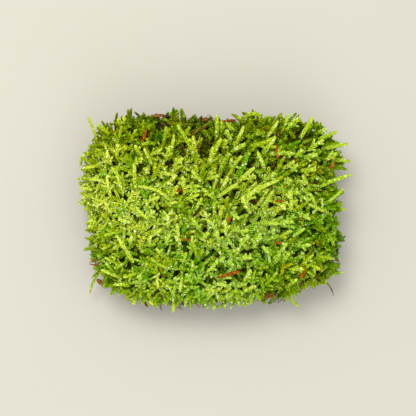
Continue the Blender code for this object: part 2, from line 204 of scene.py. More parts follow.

# How the shoots lie in each part of the turf: place in pixels, heading and rise in
# # degrees, shoot width, shoot length, greenness and lightness from 0 to 1. The lightness is
# # partly the moss's own tone and partly painted shade, most of all along the far edge.
ZONES = [
    (108, 126, 115, 28, 1.9, 10.0, 0.26, 0.26), (92, 160, 170, 24, 1.8, 10.0, 0.16, 0.68),
    (92, 205, 182, 32, 1.65, 8.0, 0.12, 0.85), (96, 240, 185, 36, 1.7, 8.0, 0.34, 0.54),
    (112, 272, 190, 30, 1.9, 9.0, 0.60, 0.44), (140, 292, 262, 32, 1.9, 8.5, 0.26, 0.77),
    (185, 297, 268, 36, 2.0, 8.5, 0.54, 0.69), (235, 296, 275, 38, 2.0, 8.5, 0.44, 0.78),
    (125, 160, 75, 34, 2.1, 10.5, 0.30, 0.54), (130, 200, 60, 38, 1.8, 9.0, 0.46, 0.77),
    (150, 230, 70, 50, 1.9, 8.0, 0.40, 0.93), (145, 262, 150, 55, 2.0, 8.0, 0.60, 0.41),
    (190, 255, 85, 66, 2.2, 8.0, 0.70, 0.48), (215, 225, 80, 58, 2.2, 8.5, 0.46, 0.80),
    (232, 262, 62, 62, 2.3, 8.5, 0.86, 0.99), (160, 130, 85, 30, 2.5, 12.0, 0.50, 0.22),
    (205, 122, 95, 28, 2.5, 12.0, 0.36, 0.24), (185, 165, 70, 34, 2.6, 12.0, 0.20, 0.77),
    (200, 195, 40, 40, 2.3, 10.5, 0.50, 0.46), (240, 135, 75, 30, 2.7, 12.0, 0.38, 0.40),
    (245, 170, 45, 32, 2.7, 12.5, 0.38, 0.76), (285, 130, 55, 28, 2.7, 12.5, 0.36, 0.43),
    (320, 135, 30, 24, 2.7, 12.5, 0.48, 0.46), (285, 165, 35, 30, 2.6, 12.0, 0.64, 0.57),
    (322, 172, 18, 26, 2.6, 12.0, 0.46, 0.64), (270, 200, 35, 38, 2.6, 11.0, 0.44, 0.94),
    (325, 205, 350, 30, 2.5, 10.5, 0.58, 0.56), (325, 240, 345, 38, 2.4, 9.5, 0.70, 0.34),
    (285, 235, 25, 50, 2.5, 9.5, 0.80, 0.90), (270, 270, 60, 52, 2.4, 9.5, 0.54, 0.40),
    (315, 272, 320, 36, 2.3, 9.5, 0.36, 0.58),
]
ZONE_BLEND = 15.0
TONE_BLEND = 9.0
SHOWN_BLEND = 8.0
SHOWN_PULL = 0.9

# Shoots that show singly on top of the turf, in pixels: root, tip, and width in millimetres
SHOWN_SHOOTS = [
    (106.6, 132, 96, 123.5, 2.2), (110, 164, 106.6, 153.5, 2.4), (117, 156, 118.6, 145, 2.6),
    (122, 152, 127, 147, 2.6), (141, 154, 135.5, 146.5, 2.5), (135, 165, 143, 159, 2.6),
    (118, 124, 116.8, 116.6, 2.0), (124, 122, 122.5, 115.3, 2.0), (131.5, 114, 143.6, 112.8, 1.7),
    (166.5, 108.3, 175.5, 105, 2.0), (174.3, 166.3, 183.2, 159.3, 2.6),
    (221.5, 130, 221.5, 120.4, 2.7), (233.6, 128.7, 226, 121.7, 2.5), (231, 138.3, 226, 130, 2.5),
    (263.6, 131.9, 255.3, 135.7, 2.6), (223.4, 147, 226.6, 140.8, 2.6),
    (233.6, 151, 245.7, 145.3, 2.7), (230.4, 165.7, 231.7, 159.3, 2.4),
    (233.6, 167.6, 241.9, 157.4, 2.7), (288, 127.4, 295.5, 118.5, 2.5), (293, 125, 300, 116, 2.3),
    (319.8, 130, 328, 127.4, 2.5), (310.8, 149.7, 324.2, 140.2, 2.7),
    (328, 157.4, 337.6, 152.3, 2.4), (305.7, 157.4, 317.2, 156.1, 2.6), (296, 157, 301.9, 151, 2.5),
    (264.3, 150.4, 275, 137.6, 2.9), (291.7, 170.8, 297.5, 166.3, 2.5),
    (284.7, 167.6, 294.3, 163, 2.6), (90.7, 190, 79.8, 188.6, 1.9), (91.3, 195, 84.3, 198.2, 1.9),
    (144.9, 174, 148, 168.8, 2.4), (135.3, 186, 134.7, 165, 2.6), (130.2, 222.4, 119.4, 220.5, 2.2),
    (119.4, 232.6, 104.7, 236.4, 2.1), (95, 221, 88.8, 221, 1.9), (95, 226, 88, 226, 1.9),
    (201, 181.6, 191.5, 171.4, 2.8), (185, 191.8, 183.2, 177.8, 2.7),
    (187.7, 186.7, 200.4, 187.3, 2.3), (187.7, 191.5, 200.4, 192.5, 2.2),
    (213.2, 198.2, 201.7, 189.9, 2.6), (210, 178.4, 218.9, 177, 2.6), (249, 180.3, 254, 175.8, 2.6),
    (240.6, 179.7, 254.6, 168.8, 2.8), (196.6, 209, 202.4, 199.4, 2.5),
    (187, 199.4, 199.2, 195.6, 2.4), (232.3, 213.5, 239.3, 220.5, 2.3),
    (285.3, 183.5, 291, 181.6, 2.4), (288.5, 192.4, 298, 194.3, 2.5), (300.6, 197.5, 310, 202, 2.5),
    (338.3, 201.4, 345.3, 202, 2.5), (329.3, 212.2, 307, 205.8, 2.3),
    (264.3, 204.5, 272.6, 192.4, 2.5), (299.4, 213.5, 309, 221, 2.5), (130.9, 244, 133.4, 237, 2.2),
    (127, 285.4, 114.3, 284.7, 2.2), (140.4, 284, 141, 275.2, 2.6), (269.4, 254, 261.7, 247.8, 2.4),
    (296.8, 245.2, 309.6, 246, 2.5), (218.3, 305.8, 228.5, 302, 1.5),
    (254.5, 247, 260.5, 234.2, 2.9), (280, 252, 285.5, 244.5, 2.5), (274.5, 262, 278, 254, 2.4),
    (283, 261, 287.5, 254, 2.4), (133.4, 296, 133.4, 303.9, 2.4), (151.3, 297, 151.3, 303.9, 2.2),
    (247, 209, 241.5, 198, 2.5), (222, 189, 228, 178, 2.6), (209, 163, 213, 148, 2.8),
    (196, 150, 193, 137, 2.8), (166, 158, 170, 147, 2.6),
]

# Dark gaps between the shoots, in pixels: place and radius
GAPS = [
    (181, 150, 5), (201, 151, 4.5), (141, 163, 3), (140, 170.5, 3), (140, 139, 2.5),
    (161, 142, 2.5), (160.5, 123, 4), (206, 117.5, 3), (209, 141, 3.5), (189.5, 135, 3),
    (172, 164, 2.5), (120, 195.4, 1.2), (126, 195.4, 1.5), (161, 211, 1.8), (189.5, 206, 2),
    (115, 163, 3), (114, 183, 2.5), (131.5, 179, 2), (199.5, 208.7, 2), (298, 135, 3.5),
    (310, 144, 2.5), (315, 142, 2.5), (250.7, 160.6, 3), (259.8, 166.4, 2.5), (288.8, 169, 2.5),
    (259.8, 179.7, 2.5), (316, 182, 3), (223, 173, 2), (237.4, 151.5, 2), (280.5, 132.4, 3),
    (255.7, 200.4, 2.5), (239, 209.5, 3), (322.8, 189.6, 2), (273, 164.7, 3), (245, 180.5, 2),
    (232.4, 196, 2), (256.5, 117.5, 2), (136.4, 218, 3), (128, 237, 3), (129.8, 265.5, 3),
    (123, 261, 2.5), (136.4, 249, 4), (186, 247, 4), (173, 249.7, 3), (156, 247, 2),
    (197.8, 236.5, 2), (214, 253, 3), (210, 283, 4), (192.8, 257, 3), (117.4, 228, 2),
    (177, 273, 3), (139.7, 257, 2), (223, 268, 4), (240.7, 276.3, 4), (235, 240.6, 3),
    (263, 258, 3), (278, 216, 3), (285, 215.5, 3), (303, 233, 3.5), (313, 232, 3), (300, 250, 2.5),
    (305, 249.8, 2.5), (293, 255.6, 3), (266.4, 244.8, 2.5), (246.5, 251.4, 2.5), (268, 274.6, 2),
    (318.7, 276.3, 3), (319.5, 214, 2), (252.3, 212.4, 2),
]

# Brown stems and crumbs at the turf's edge, in pixels: middle, reach across and down,
# count, and lightness
EDGE_LITTER = [
    (207, 115.5, 8, 2.5, 40, 0.26), (163, 113, 5, 1.5, 12, 0.3), (190, 112, 6, 2.5, 26, 0.2),
    (227, 116, 9, 2, 26, 0.3), (304, 284, 9, 3.5, 34, 0.7), (268, 293, 7, 1.5, 14, 0.5),
    (156, 296.5, 8, 1.5, 14, 0.4), (339, 250, 2.5, 10, 22, 0.35), (100, 284, 5, 4, 12, 0.5),
    (215, 300, 10, 2, 12, 0.4), (92, 262, 3, 4, 8, 0.5), (280, 119, 5, 2, 8, 0.3),
]

# Thin straw-coloured stems that lie over the moss, in pixels: start, bend and end
WISPS = [
    ((183, 126), (184, 120), (183.4, 113)), ((204, 112), (212, 104), (210.6, 114)),
    ((187, 135), (190, 133), (194, 130.6)), ((194, 135), (197, 130), (200, 128)),
    ((202, 126.5), (205, 125), (208, 122)), ((198, 144), (198.5, 141), (200.4, 136)),
    ((175, 121.5), (185, 126), (198, 123.5)), ((160.6, 127), (161, 132), (167, 134.5)),
    ((275, 283), (280, 287), (279, 292)), ((304, 281), (311, 284), (317, 281)),
    ((144, 112.5), (137, 112), (131, 114.5)), ((246, 187), (249, 189), (252, 187.6)),
]

# Small flecks of litter in the moss: place in pixels, length, turn in degrees, colour
FLECKS = [
    (246.4, 244.6, 1.6, 150, "orange"), (163.4, 275.8, 1.9, 20, "orange"),
    (213.8, 258.6, 1.4, 60, "tan"), (264.3, 197, 1.7, 80, "red"),
    (286, 187.3, 1.8, 20, "tan"), (300.6, 221, 1.7, 130, "red"),
    (201, 215.4, 2.6, 30, "tan"), (197, 219, 1.8, 200, "orange"),
    (101.5, 157.4, 1.3, 10, "orange"), (310.2, 282.2, 2.0, 0, "tan"),
    (279.6, 120.4, 1.8, 50, "red"), (318, 190.5, 1.4, 60, "tan"),
    (271, 276, 1.8, 110, "red"), (187.5, 262, 1.2, 80, "tan"),
    (320.5, 173, 1.6, 70, "red"), (243.7, 188, 1.3, 90, "tan"),
]


def from_picture(px, py):
    """A place in the picture, as millimetres on the clump."""
    return np.array([(px - PICTURE_MIDDLE[0]) * PIXEL, (PICTURE_MIDDLE[1] - py) * PIXEL])


def toward(angle):
    """A level direction, as x and y."""
    return np.array([math.cos(angle), math.sin(angle)])


def seeded(number):
    """A random source of its own for each kind of thing."""
    return np.random.default_rng(SEED + number)


def unit(vectors):
    return vectors / np.linalg.norm(vectors, axis=-1, keepdims=True)


def linear(hex_colour):
    """An sRGB colour such as #8fb01e, as the linear colour that a shader takes."""
    parts = [int(hex_colour[i : i + 2], 16) / 255 for i in (1, 3, 5)]
    curve = [p / 12.92 if p <= 0.04045 else ((p + 0.055) / 1.055) ** 2.4 for p in parts]
    return (*curve, 1.0)


def add_node(material, kind, links=None, inputs=None, stops=(), **settings):
    """Adds a shader node with its links, input values, ramp stops and settings."""
    tree = material.node_tree
    made = tree.nodes.new("ShaderNode" + kind)
    for name, value in settings.items():
        setattr(made, name, value)
    for socket, value in (inputs or {}).items():
        made.inputs[socket].default_value = value
    for socket, (source, output) in (links or {}).items():
        tree.links.new(source.outputs[output], made.inputs[socket])
    for number, (place, colour) in enumerate(stops):
        ends = made.color_ramp.elements
        stop = ends[number] if number < len(ends) else ends.new(place)
        stop.position = place
        stop.color = linear(colour)
    return made


def new_material(name, **values):
    """A material whose Principled shader has these values, and that shader."""
    material = bpy.data.materials.new(name)
    material.use_nodes = True
    shader = material.node_tree.nodes["Principled BSDF"]
    for socket, value in values.items():
        shader.inputs[socket.replace("_", " ")].default_value = value
    return material, shader


def link_colour(material, shader, source, output):
    material.node_tree.links.new(source.outputs[output], shader.inputs["Base Color"])


def charted(name, first_ramp, second_ramp, tip_colour, pattern, **values):
    """A material that reads the colour chart: lightness across it, hue up it.

    Inside each square of the chart, across and along are the leaf's own. The lightest
    leaves are washed paler, at their tips most of all: partly painted highlight, partly the pale tips
    that such leaves have.
    """
    material, shader = new_material(name, **values)
    node = partial(add_node, material)
    place = node("UVMap", uv_map=CHART_MAP)
    squares = node("VectorMath", {0: (place, 0)}, {"Scale": CHART}, operation="SCALE")
    axes = node("SeparateXYZ", {0: (squares, 0)})
    parts = []
    for axis in (0, 1):
        whole = node("Math", {0: (axes, axis)}, operation="FLOOR")
        share = node("Math", {0: (whole, 0)}, {1: CHART - 1}, operation="DIVIDE")
        inside = node("Math", {0: (axes, axis)}, operation="FRACT")
        parts.append((share, inside))
    (lightness, across), (hue, along) = parts
    first = node("ValToRGB", {0: (lightness, 0)}, stops=first_ramp)
    second = node("ValToRGB", {0: (lightness, 0)}, stops=second_ramp)
    links = {0: (hue, 0), MIX_A: (first, 0), MIX_B: (second, 0)}
    body = node("Mix", links, data_type="RGBA")
    # Painted highlight: the lightest squares lose saturation and take more of the pale tip colour.
    bright = node("Math", {0: (lightness, 0)}, {1: BRIGHT_POWER}, operation="POWER")
    inputs = {1: -PALENESS, 2: 1.0}
    keep = node("Math", {0: (bright, 0)}, inputs, operation="MULTIPLY_ADD")
    body = node("HueSaturation", {"Saturation": (keep, 0), "Color": (body, MIXED)})
    output = 0
    length_ramp, width_ramp, tip_ramp = pattern
    for source, stops in ((along, length_ramp), (across, width_ramp)):
        shade = node("ValToRGB", {0: (source, 0)}, stops=stops)
        links = {MIX_A: (body, output), MIX_B: (shade, 0)}
        body = node("Mix", links, {0: 1.0}, data_type="RGBA", blend_type="MULTIPLY")
        output = MIXED
    tip_share = node("ValToRGB", {0: (along, 0)}, stops=tip_ramp)
    tip_share = node("Math", {0: (tip_share, 0), 1: (bright, 0)}, operation="MULTIPLY")
    links = {0: (tip_share, 0), MIX_A: (body, MIXED)}
    tipped = node("Mix", links, {MIX_B: linear(tip_colour)}, data_type="RGBA")
    link_colour(material, shader, tipped, MIXED)
    return material


def make_living_moss():
    """Living moss leaf, one cell thick and moist: clear yellow-green, a little glossy, with small
    painted glints.

    Each leaf is darker along its middle. It is darker at its clasped base, partly its own denser
    green and partly painted shade under the leaf above. It is pale at its tip, partly its own pale
    tip and partly painted highlight.
    """
    # The lightest square of both ramps is near white: it is the painted glint.
    yellow = zip(LEAF_STOPS, ("#605e06", "#9a9604", "#c8cc04", "#e2e21c", "#fcf6cc"))
    green = zip(LEAF_STOPS, ("#285408", "#488406", "#70b208", "#a2d420", "#e6f4cc"))
    # Darker at the clasped base: partly the leaf's own denser green, partly painted shade under the
    # leaf above.
    along = zip((0.0, 0.5, 0.8), ("#8aa070", "#c6d0b0", "#ffffff"))
    across = zip((0.0, 0.34, 0.5, 0.66, 1.0), ("#ffffff", "#e2eacc", "#b2c492", "#e2eacc", "#ffffff"))
    # Pale tips, strongest on the lightest leaves: partly the leaves' own pale tips, partly painted
    # highlight.
    tip = zip((0.0, 0.64, 0.9), ("#000000", "#000000", "#b8b8b8"))
    return charted(
        "living_moss_leaf", yellow, green, "#f4f4b8", (along, across, tip),
        Roughness=0.24, IOR=1.45, Specular_IOR_Level=0.03,
    )


def make_dry(name, warm, dull, shades, tip_colour, tip, **values):
    """A dry finish on the colour chart. The shades are of its foot, its top and its middle."""
    foot, top, middle = shades
    along = zip(HALVES, (foot, "#ffffff", top))
    across = zip(HALVES, ("#ffffff", middle, "#ffffff"))
    tip = zip((0.0, 0.8, 1.0), ("#000000", "#000000", tip))
    return charted(
        name, zip(DRY_STOPS, warm), zip(DRY_STOPS, dull), tip_colour, (along, across, tip),
        Specular_IOR_Level=0.15, **values,
    )


def patterned(name, grain_size, colours, stretch=(1.0, 1.0, 1.0), **values):
    """A material with a fine uneven pattern on the piece's own place in the clump."""
    material, shader = new_material(name, **values)
    place = add_node(material, "TexCoord")
    stretched = add_node(material, "Mapping", {0: (place, "Object")}, {"Scale": stretch})
    inputs = {"Scale": 1 / (grain_size * MM), "Detail": 3.0, "Roughness": 0.6}
    grain = add_node(material, "TexNoise", {0: (stretched, 0)}, inputs)
    stops = [(0.28 + 0.44 * i / (len(colours) - 1), c) for i, c in enumerate(colours)]
    ramp = add_node(material, "ValToRGB", {0: (grain, 0)}, stops=stops)
    link_colour(material, shader, ramp, 0)
    return material


def make_finishes():
    """Every finish of the clump, by a short name."""
    return {
        "moss": make_living_moss(),
        # Dead moss stems and leaves: dry, matt, from straw to dark peat brown
        "dead_moss": make_dry(
            "dead_moss_stem",
            ("#2a1809", "#5a3715", "#93662c", "#c9a163"),
            ("#1d1a0b", "#43401a", "#757033", "#aaa668"),
            ("#b0a898", "#e6e0d6", "#cfc7ba"), "#c7ad7c", "#404040",
            Roughness=0.8, IOR=1.45,
        ),
        # Broken bud scales, leaf crumbs and stem ends: dry and dull, rust brown to straw
        "flecks": make_dry(
            "litter_flecks",
            ("#2c1602", "#5e3204", "#8c5008", "#ac7a20"),
            ("#2c2608", "#5c5412", "#928c28", "#c8c86a"),
            ("#b8a890", "#e8dccc", "#d8ccbc"), "#b89058", "#303030",
            Roughness=0.7,
        ),
        # Inside of the turf: old stems and humus, whose dark green-brown is partly their own colour
        # and partly painted shade
        "humus": patterned(
            "shaded_humus", 1.0, ["#14160a", "#2e3408", "#464c0a", "#503e12"], (1.0, 1.0, 0.4),
            Roughness=0.95, Specular_IOR_Level=0.0,
        ),
        # Cut pad of old stems: crumbly and brown, with lighter straw bits
        "pad": patterned(
            "dead_stem_pad", 1.6, ["#24170a", "#4a3115", "#6d4c22", "#8a6a35"],
            Roughness=0.9, Specular_IOR_Level=0.1,
        ),
        # Bud scale: a papery resin-brown husk that shines a little
        "bud_scale": patterned(
            "papery_bud_scale", 0.9, ["#341a04", "#743802", "#a8620a"],
            Roughness=0.5, IOR=1.5, Specular_IOR_Level=0.05,
        ),
        # Conifer needle: dried to orange brown, waxy
        "needle": patterned(
            "dry_conifer_needle", 1.1, ["#2e1402", "#6c3402", "#a45c0c"],
            Roughness=0.5, IOR=1.48, Specular_IOR_Level=0.05,
        ),
        # Dead leaf: thin, veined and dull
        "leaf": patterned(
            "dead_leaf_flake", 1.0, ["#301c04", "#6a400a", "#946a26"],
            Roughness=0.75, Specular_IOR_Level=0.15,
        ),
        # Bare stem: thin reddish-brown bark
        "stem": patterned(
            "bare_stem_bark", 0.8, ["#241404", "#4c300c", "#7c541c"],
            Roughness=0.65, Specular_IOR_Level=0.15,
        ),
    }


def add_piece(name, mesh, material, slot, *nodes):
    """An object for a finished mesh: its finish, its ride, and the nodes that it stands for."""
    piece = bpy.data.objects.new(name, mesh)
    bpy.context.scene.collection.objects.link(piece)
    mesh.materials.append(material)
    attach(piece, "root")
    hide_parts(*nodes)


def mesh_from(bm, name):
    """The mesh of a finished model, from millimetres to metres."""
    bmesh.ops.scale(bm, vec=(MM, MM, MM), verts=bm.verts)
    mesh = bpy.data.meshes.new(name)
    bm.to_mesh(mesh)
    bm.free()
    return mesh


def leaf_shape(segments):
    """A small keeled leaf: its points, its triangles, and where their corners are on a chart.

    A point is across from -1 to 1, along from 0 at the base to 1 at the tip, and out.
    """
    bm = bmesh.new()
    bmesh.ops.create_circle(bm, cap_ends=True, cap_tris=True, segments=segments, radius=1.0)
    rim = [edge for edge in bm.edges if edge.is_boundary]
    bmesh.ops.edgeloop_fill(bm, edges=rim)
    for vert in bm.verts:
        middle = vert.co.length < 0.5
        along = 0.44 + 0.5 * vert.co.y if middle else 0.5 + 0.5 * vert.co.y
        along = along ** LEAF_FULLNESS
        narrow = 1.0 - 0.3 * max(0.0, along - 0.5)
        out = (KEEL if middle else -CLASP * abs(vert.co.x)) - CURL * along * along
        vert.co = (vert.co.x * narrow, along, out)
    bmesh.ops.triangulate(bm, faces=bm.faces)
    bmesh.ops.recalc_face_normals(bm, faces=bm.faces)
    bm.verts.index_update()
    points = np.array([vert.co for vert in bm.verts])
    triangles = np.array([[vert.index for vert in face.verts] for face in bm.faces])
    bm.free()
    corners = points[triangles]
    return points, triangles, np.stack([(corners[..., 0] + 1) / 2, corners[..., 1]], axis=-1)


LEAVES = {segments: leaf_shape(segments) for segments in (COARSE, USUAL, FINE)}


def leaf_points(shape, *axes):
    """A leaf's points, from its base and its own half width, length and rise as vectors."""
    base, side, along, out = (axis[..., None, :] for axis in axes)
    return base + shape[:, :1] * side + shape[:, 1:2] * along + shape[:, 2:] * out


class Spine:
    """A shoot's middle line: one smooth bend from root to tip."""

    def __init__(self, root, middle, tip):
        self.root = np.asarray(root, float)
        self.middle = np.asarray(middle, float)
        self.tip = np.asarray(tip, float)
        self.length = np.linalg.norm(self.tip - self.root)

    def at(self, t):
        t = np.asarray(t, float)[..., None]
        a, b, c = (1 - t) ** 2, 2 * t * (1 - t), t * t
        return a * self.root + b * self.middle + c * self.tip

    def way(self, t):
        t = np.asarray(t, float)[..., None]
        return unit((1 - t) * (self.middle - self.root) + t * (self.tip - self.middle))

    def part(self, start, end, count):
        """Points spread evenly from start to end, as shares of the line."""
        return self.at(np.linspace(start, end, count))


def bent(root, tip, arch, bow, levels=()):
    """A spine that stands up from its chord by arch, and aside by bow, at mid-length.

    Where levels are given, they are the heights of a root and a tip without their own.
    """
    if levels:
        root, tip = (*root, levels[0]), (*tip, levels[1])
    root, tip = np.asarray(root, float), np.asarray(tip, float)
    along = unit(tip - root)
    level = np.array([-along[1], along[0], 0.0])
    size = np.linalg.norm(level)
    level = level / size if size > 0.05 else np.array([1.0, 0.0, 0.0])
    upward = np.cross(along, level)
    return Spine(root, (root + tip) / 2 + 2 * (arch * upward + bow * level), tip)


class Joined:
    """Many small closed parts on the way to one mesh, laid out on the colour chart."""

    def __init__(self):
        self.points = []
        self.triangles = []
        self.places = []
        self.count = 0

    def add(self, points, triangles, squares, inside):
        """Adds parts that share a pattern of triangles.

        points: part, corner, xyz. squares: part, (lightness, hue) from 0 to 1.
        inside: each triangle's corners in its square, from 0 to 1.
        """
        parts, corners = points.shape[:2]
        steps = self.count + corners * np.arange(parts)
        self.points.append(points.reshape(-1, 3))
        self.triangles.append((triangles[None] + steps[:, None, None]).reshape(-1, 3))
        square = np.round(np.clip(squares, 0, 1) * (CHART - 1))
        inset = CHART_EDGE + (1 - 2 * CHART_EDGE) * inside
        places = (square[:, None, None, :] + inset[None]) / CHART
        self.places.append(places.reshape(-1, 2))
        self.count += parts * corners

    def mesh(self, name):
        points = np.concatenate(self.points) * MM
        corners = np.concatenate(self.triangles).ravel()
        made = bpy.data.meshes.new(name)
        made.vertices.add(len(points))
        made.vertices.foreach_set("co", points.astype(np.float32).ravel())
        made.loops.add(len(corners))
        made.loops.foreach_set("vertex_index", corners.astype(np.int32))
        made.polygons.add(len(corners) // 3)
        made.polygons.foreach_set("loop_start", np.arange(0, len(corners), 3, dtype=np.int32))
        made.update(calc_edges=True)
        layer = made.uv_layers.new(name=CHART_MAP)
        layer.data.foreach_set("uv", np.concatenate(self.places).astype(np.float32).ravel())
        return made


def cross_axes(ways, level):
    """Two directions square to each way, the first of them the nearest to level."""
    across = unit(level - ways * (ways @ level)[:, None])
    return across, np.cross(ways, across)


def add_tube(joined, line, radius, sides, square):
    """A closed tube of flat sides along a line of points."""
    line = np.asarray(line, float)
    ways = unit(np.gradient(line, axis=0))
    across, up = cross_axes(ways, np.cross(ways[len(ways) // 2], TUBE_LEVEL))
    turns = 2 * np.pi * np.arange(sides) / sides
    rings = (
        line[:, None]
        + radius[:, None, None] * np.cos(turns)[None, :, None] * across[:, None]
        + radius[:, None, None] * np.sin(turns)[None, :, None] * up[:, None]
    )
    triangles = []
    inside = []
    last = len(line) - 1
    for ring in range(last):
        for side in range(sides):
            a, b = ring * sides + side, ring * sides + (side + 1) % sides
            c, d = a + sides, b + sides
            low, high = ring / last, (ring + 1) / last
            left, right = side / sides, (side + 1) / sides
            triangles += [(a, b, d), (a, d, c)]
            inside += [((left, low), (right, low), (right, high))]
            inside += [((left, low), (right, high), (left, high))]
    start = last * sides
    for side in range(1, sides - 1):
        triangles += [(0, side + 1, side), (start, start + side, start + side + 1)]
        inside += [((0.2, 0.1), (0.8, 0.1), (0.5, 0.4)), ((0.2, 0.6), (0.8, 0.6), (0.5, 0.9))]
    joined.add(
        rings.reshape(1, -1, 3), np.array(triangles), np.array([square]), np.array(inside)
    )


def add_leaves(joined, spine, width, segments, colour, facing, rng, density=1.0):
    """Leaves in a spiral round a spine. Those on the far side of facing are left off."""
    shape, triangles, inside = LEAVES[segments]
    size = (width / USUAL_WIDTH) ** LEAF_SIZING
    step = LEAF_STEP * size / density
    count = max(LEAST_LEAVES, int(spine.length / step))
    t = np.clip((np.arange(count) + rng.uniform(0, 1)) / count, 0.0, 1.0)
    ways = spine.way(t)
    across, up = cross_axes(ways, np.cross(spine.way(0.5), LEAF_LEVEL))
    turn = GOLDEN_TURN * np.arange(count) + rng.uniform(0, ANY_TURN)
    turn = turn + rng.normal(0, LEAF_SWING, count)
    out = np.cos(turn)[:, None] * across + np.sin(turn)[:, None] * up
    if facing is not None:
        kept = out @ facing > FAR_SIDE
        t, ways, out = t[kept], ways[kept], out[kept]
    count = len(t)
    closing = np.clip((t - CLOSES_FROM) / (1 - CLOSES_FROM), 0, 1)
    taper = 1.0 - TIP_TAPER * closing ** 2
    taper *= 0.82 + 0.18 * np.clip(t / 0.15, 0, 1)
    stand = (LEAF_STAND + (TIP_STAND - LEAF_STAND) * closing) * width / (LEAF_LENGTH * size)
    spread = np.arcsin(np.clip(stand, 0, 0.8)) + rng.normal(0, SPREAD_SWING, count)
    length = LEAF_LENGTH * size * taper * rng.uniform(0.86, 1.14, count)
    half = LEAF_HALF_WIDTH * size * taper * rng.uniform(0.9, 1.1, count)
    cosine, sine = np.cos(spread)[:, None], np.sin(spread)[:, None]
    base = spine.at(t) + out * (STEM_SHARE * width * taper)[:, None]
    base -= ways * (0.8 * length * closing ** 2)[:, None]
    points = leaf_points(
        shape,
        base,
        half[:, None] * np.cross(ways, out),
        length[:, None] * (cosine * ways + sine * out),
        length[:, None] * (cosine * out - sine * ways),
    )
    light, hue = colour[0], min(max(colour[1], 0.05), 0.85)
    contrast = (width / USUAL_WIDTH) ** 1.5
    # Darker towards the root and lighter towards the tip. The top leaves are lighter still, partly
    # their own paleness and partly painted highlight.
    lights = light - 0.08 + 0.12 * t + LEAF_CONTRAST * contrast * rng.normal(0, 1, count)
    lights = np.minimum(np.where(t > 0.93, lights + 0.16 * contrast, lights), LIGHTEST_LEAF)
    # Painted glints: a few leaves are lifted to the near-white lightest square.
    lights += PAINTED_GLINT * (rng.uniform(0, 1, count) < PAINTED_GLINT_SHARE)
    hues = hue + 0.10 * (1 - t) + rng.normal(0, 0.12, count)
    hues[:2] = (0.0, 1.0)
    joined.add(points, triangles, np.stack([lights, hues], axis=1), inside)


def add_shoot(joined, spine, width, segments, colour, facing, rng, density=1.0):
    """A stem with its leaves."""
    radius = width * np.array([0.12, 0.11, 0.09, 0.04])
    add_tube(joined, spine.part(0, 0.96, 4), radius, 3, (0.0, rng.uniform(0, 1)))
    add_leaves(joined, spine, width, segments, colour, facing, rng, density)


def add_branches(joined, spine, width, colour, facing, rng, count, slim=0.64):
    """Short side shoots in one plane, left and right in turn, as on a feather."""
    flat = np.cross(spine.way(0.5), (0.0, 0.0, 1.0))
    if np.linalg.norm(flat) < 0.2:
        flat = np.array([1.0, 0.0, 0.0])
    flat = unit(flat)
    hand = rng.choice((-1, 1))
    for number in range(count):
        t = 0.12 + 0.58 * (number + rng.uniform(0.2, 0.8)) / count
        hand = -hand
        turn = BRANCH_TURN + rng.normal(0, 0.12)
        way = math.cos(turn) * spine.way(t) + math.sin(turn) * hand * flat
        length = rng.uniform(0.26, 0.42) * spine.length * (1.1 - 0.5 * t)
        root = spine.at(t)
        tip = root + way * length + np.array([0, 0, rng.uniform(0.0, 0.14) * length])
        branch = bent(root, tip, 0.04 * length, 0.0)
        add_leaves(joined, branch, slim * width, COARSE, colour, facing, rng)


def node_points(name):
    """The corners of a CAD node, in millimetres."""
    return np.array([vert.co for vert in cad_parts[name].data.vertices]) / MM


def shell_of(name):
    """A CAD node's surface in millimetres, for rays."""
    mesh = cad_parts[name].data
    points = [vert.co / MM for vert in mesh.vertices]
    return BVHTree.FromPolygons(points, [tuple(face.vertices) for face in mesh.polygons])


def smoothed(grid, axes):
    """A grid without its narrow spikes and pits, and softened."""
    for pick in (np.min, np.max):
        for axis in axes:
            near = [np.roll(grid, step, axis) for step in range(-2, 3)]
            grid = pick(near, axis=0)
    for axis in axes * 2:
        grid = (np.roll(grid, 1, axis) + 2 * grid + np.roll(grid, -1, axis)) / 4
    return grid


class Skin:
    """The turf's own surface under its standing shoots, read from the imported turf."""

    def __init__(self, node):
        shell = shell_of(node)
        low, high = (np.array(corner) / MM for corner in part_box(node))
        margin = 4 * SKIN_STEP
        self.start = low[:2] - margin
        xs, ys = (np.arange(low[i] - margin, high[i] + margin, SKIN_STEP) for i in (0, 1))
        grid = np.full((len(xs), len(ys)), SKIN_FLOOR)
        for i, x in enumerate(xs):
            for j, y in enumerate(ys):
                hit = shell.ray_cast(Vector((x, y, 2 * high[2])), Vector((0, 0, -1)))[0]
                if hit:
                    grid[i, j] = hit.z
        self.grid = smoothed(grid, (0, 1))
        self.turns = np.radians(np.arange(0, 360, 2))
        self.levels = np.arange(10.0, 31.0, 4.0)
        rim = np.zeros((len(self.turns), len(self.levels)))
        for i, turn in enumerate(self.turns):
            outward = Vector((math.cos(turn), math.sin(turn), 0))
            for j, level in enumerate(self.levels):
                far = outward * 2 * high[0] + Vector((0, 0, level))
                hit = shell.ray_cast(far, -outward)[0]
                rim[i, j] = math.hypot(hit.x, hit.y) if hit else 0.0
        self.rim = smoothed(rim, (0,))

    def height(self, places):
        """The skin's height over places, which are rows of x and y."""
        cell = (np.asarray(places, float) - self.start) / SKIN_STEP
        top = np.array(self.grid.shape) - 2
        first = np.clip(np.floor(cell).astype(int), 0, top)
        (i, j), (u, v) = first.T, np.clip(cell - first, 0, 1).T
        g = self.grid
        lower = g[i, j] * (1 - u) + g[i + 1, j] * u
        upper = g[i, j + 1] * (1 - u) + g[i + 1, j + 1] * u
        return lower * (1 - v) + upper * v

    def reach(self, turn, level):
        """How far out the turf's side is, in a direction and at a height."""
        column = np.array([np.interp(level, self.levels, row) for row in self.rim])
        turns = np.append(self.turns, 2 * np.pi)
        return np.interp(turn % (2 * np.pi), turns, np.append(column, column[0]))


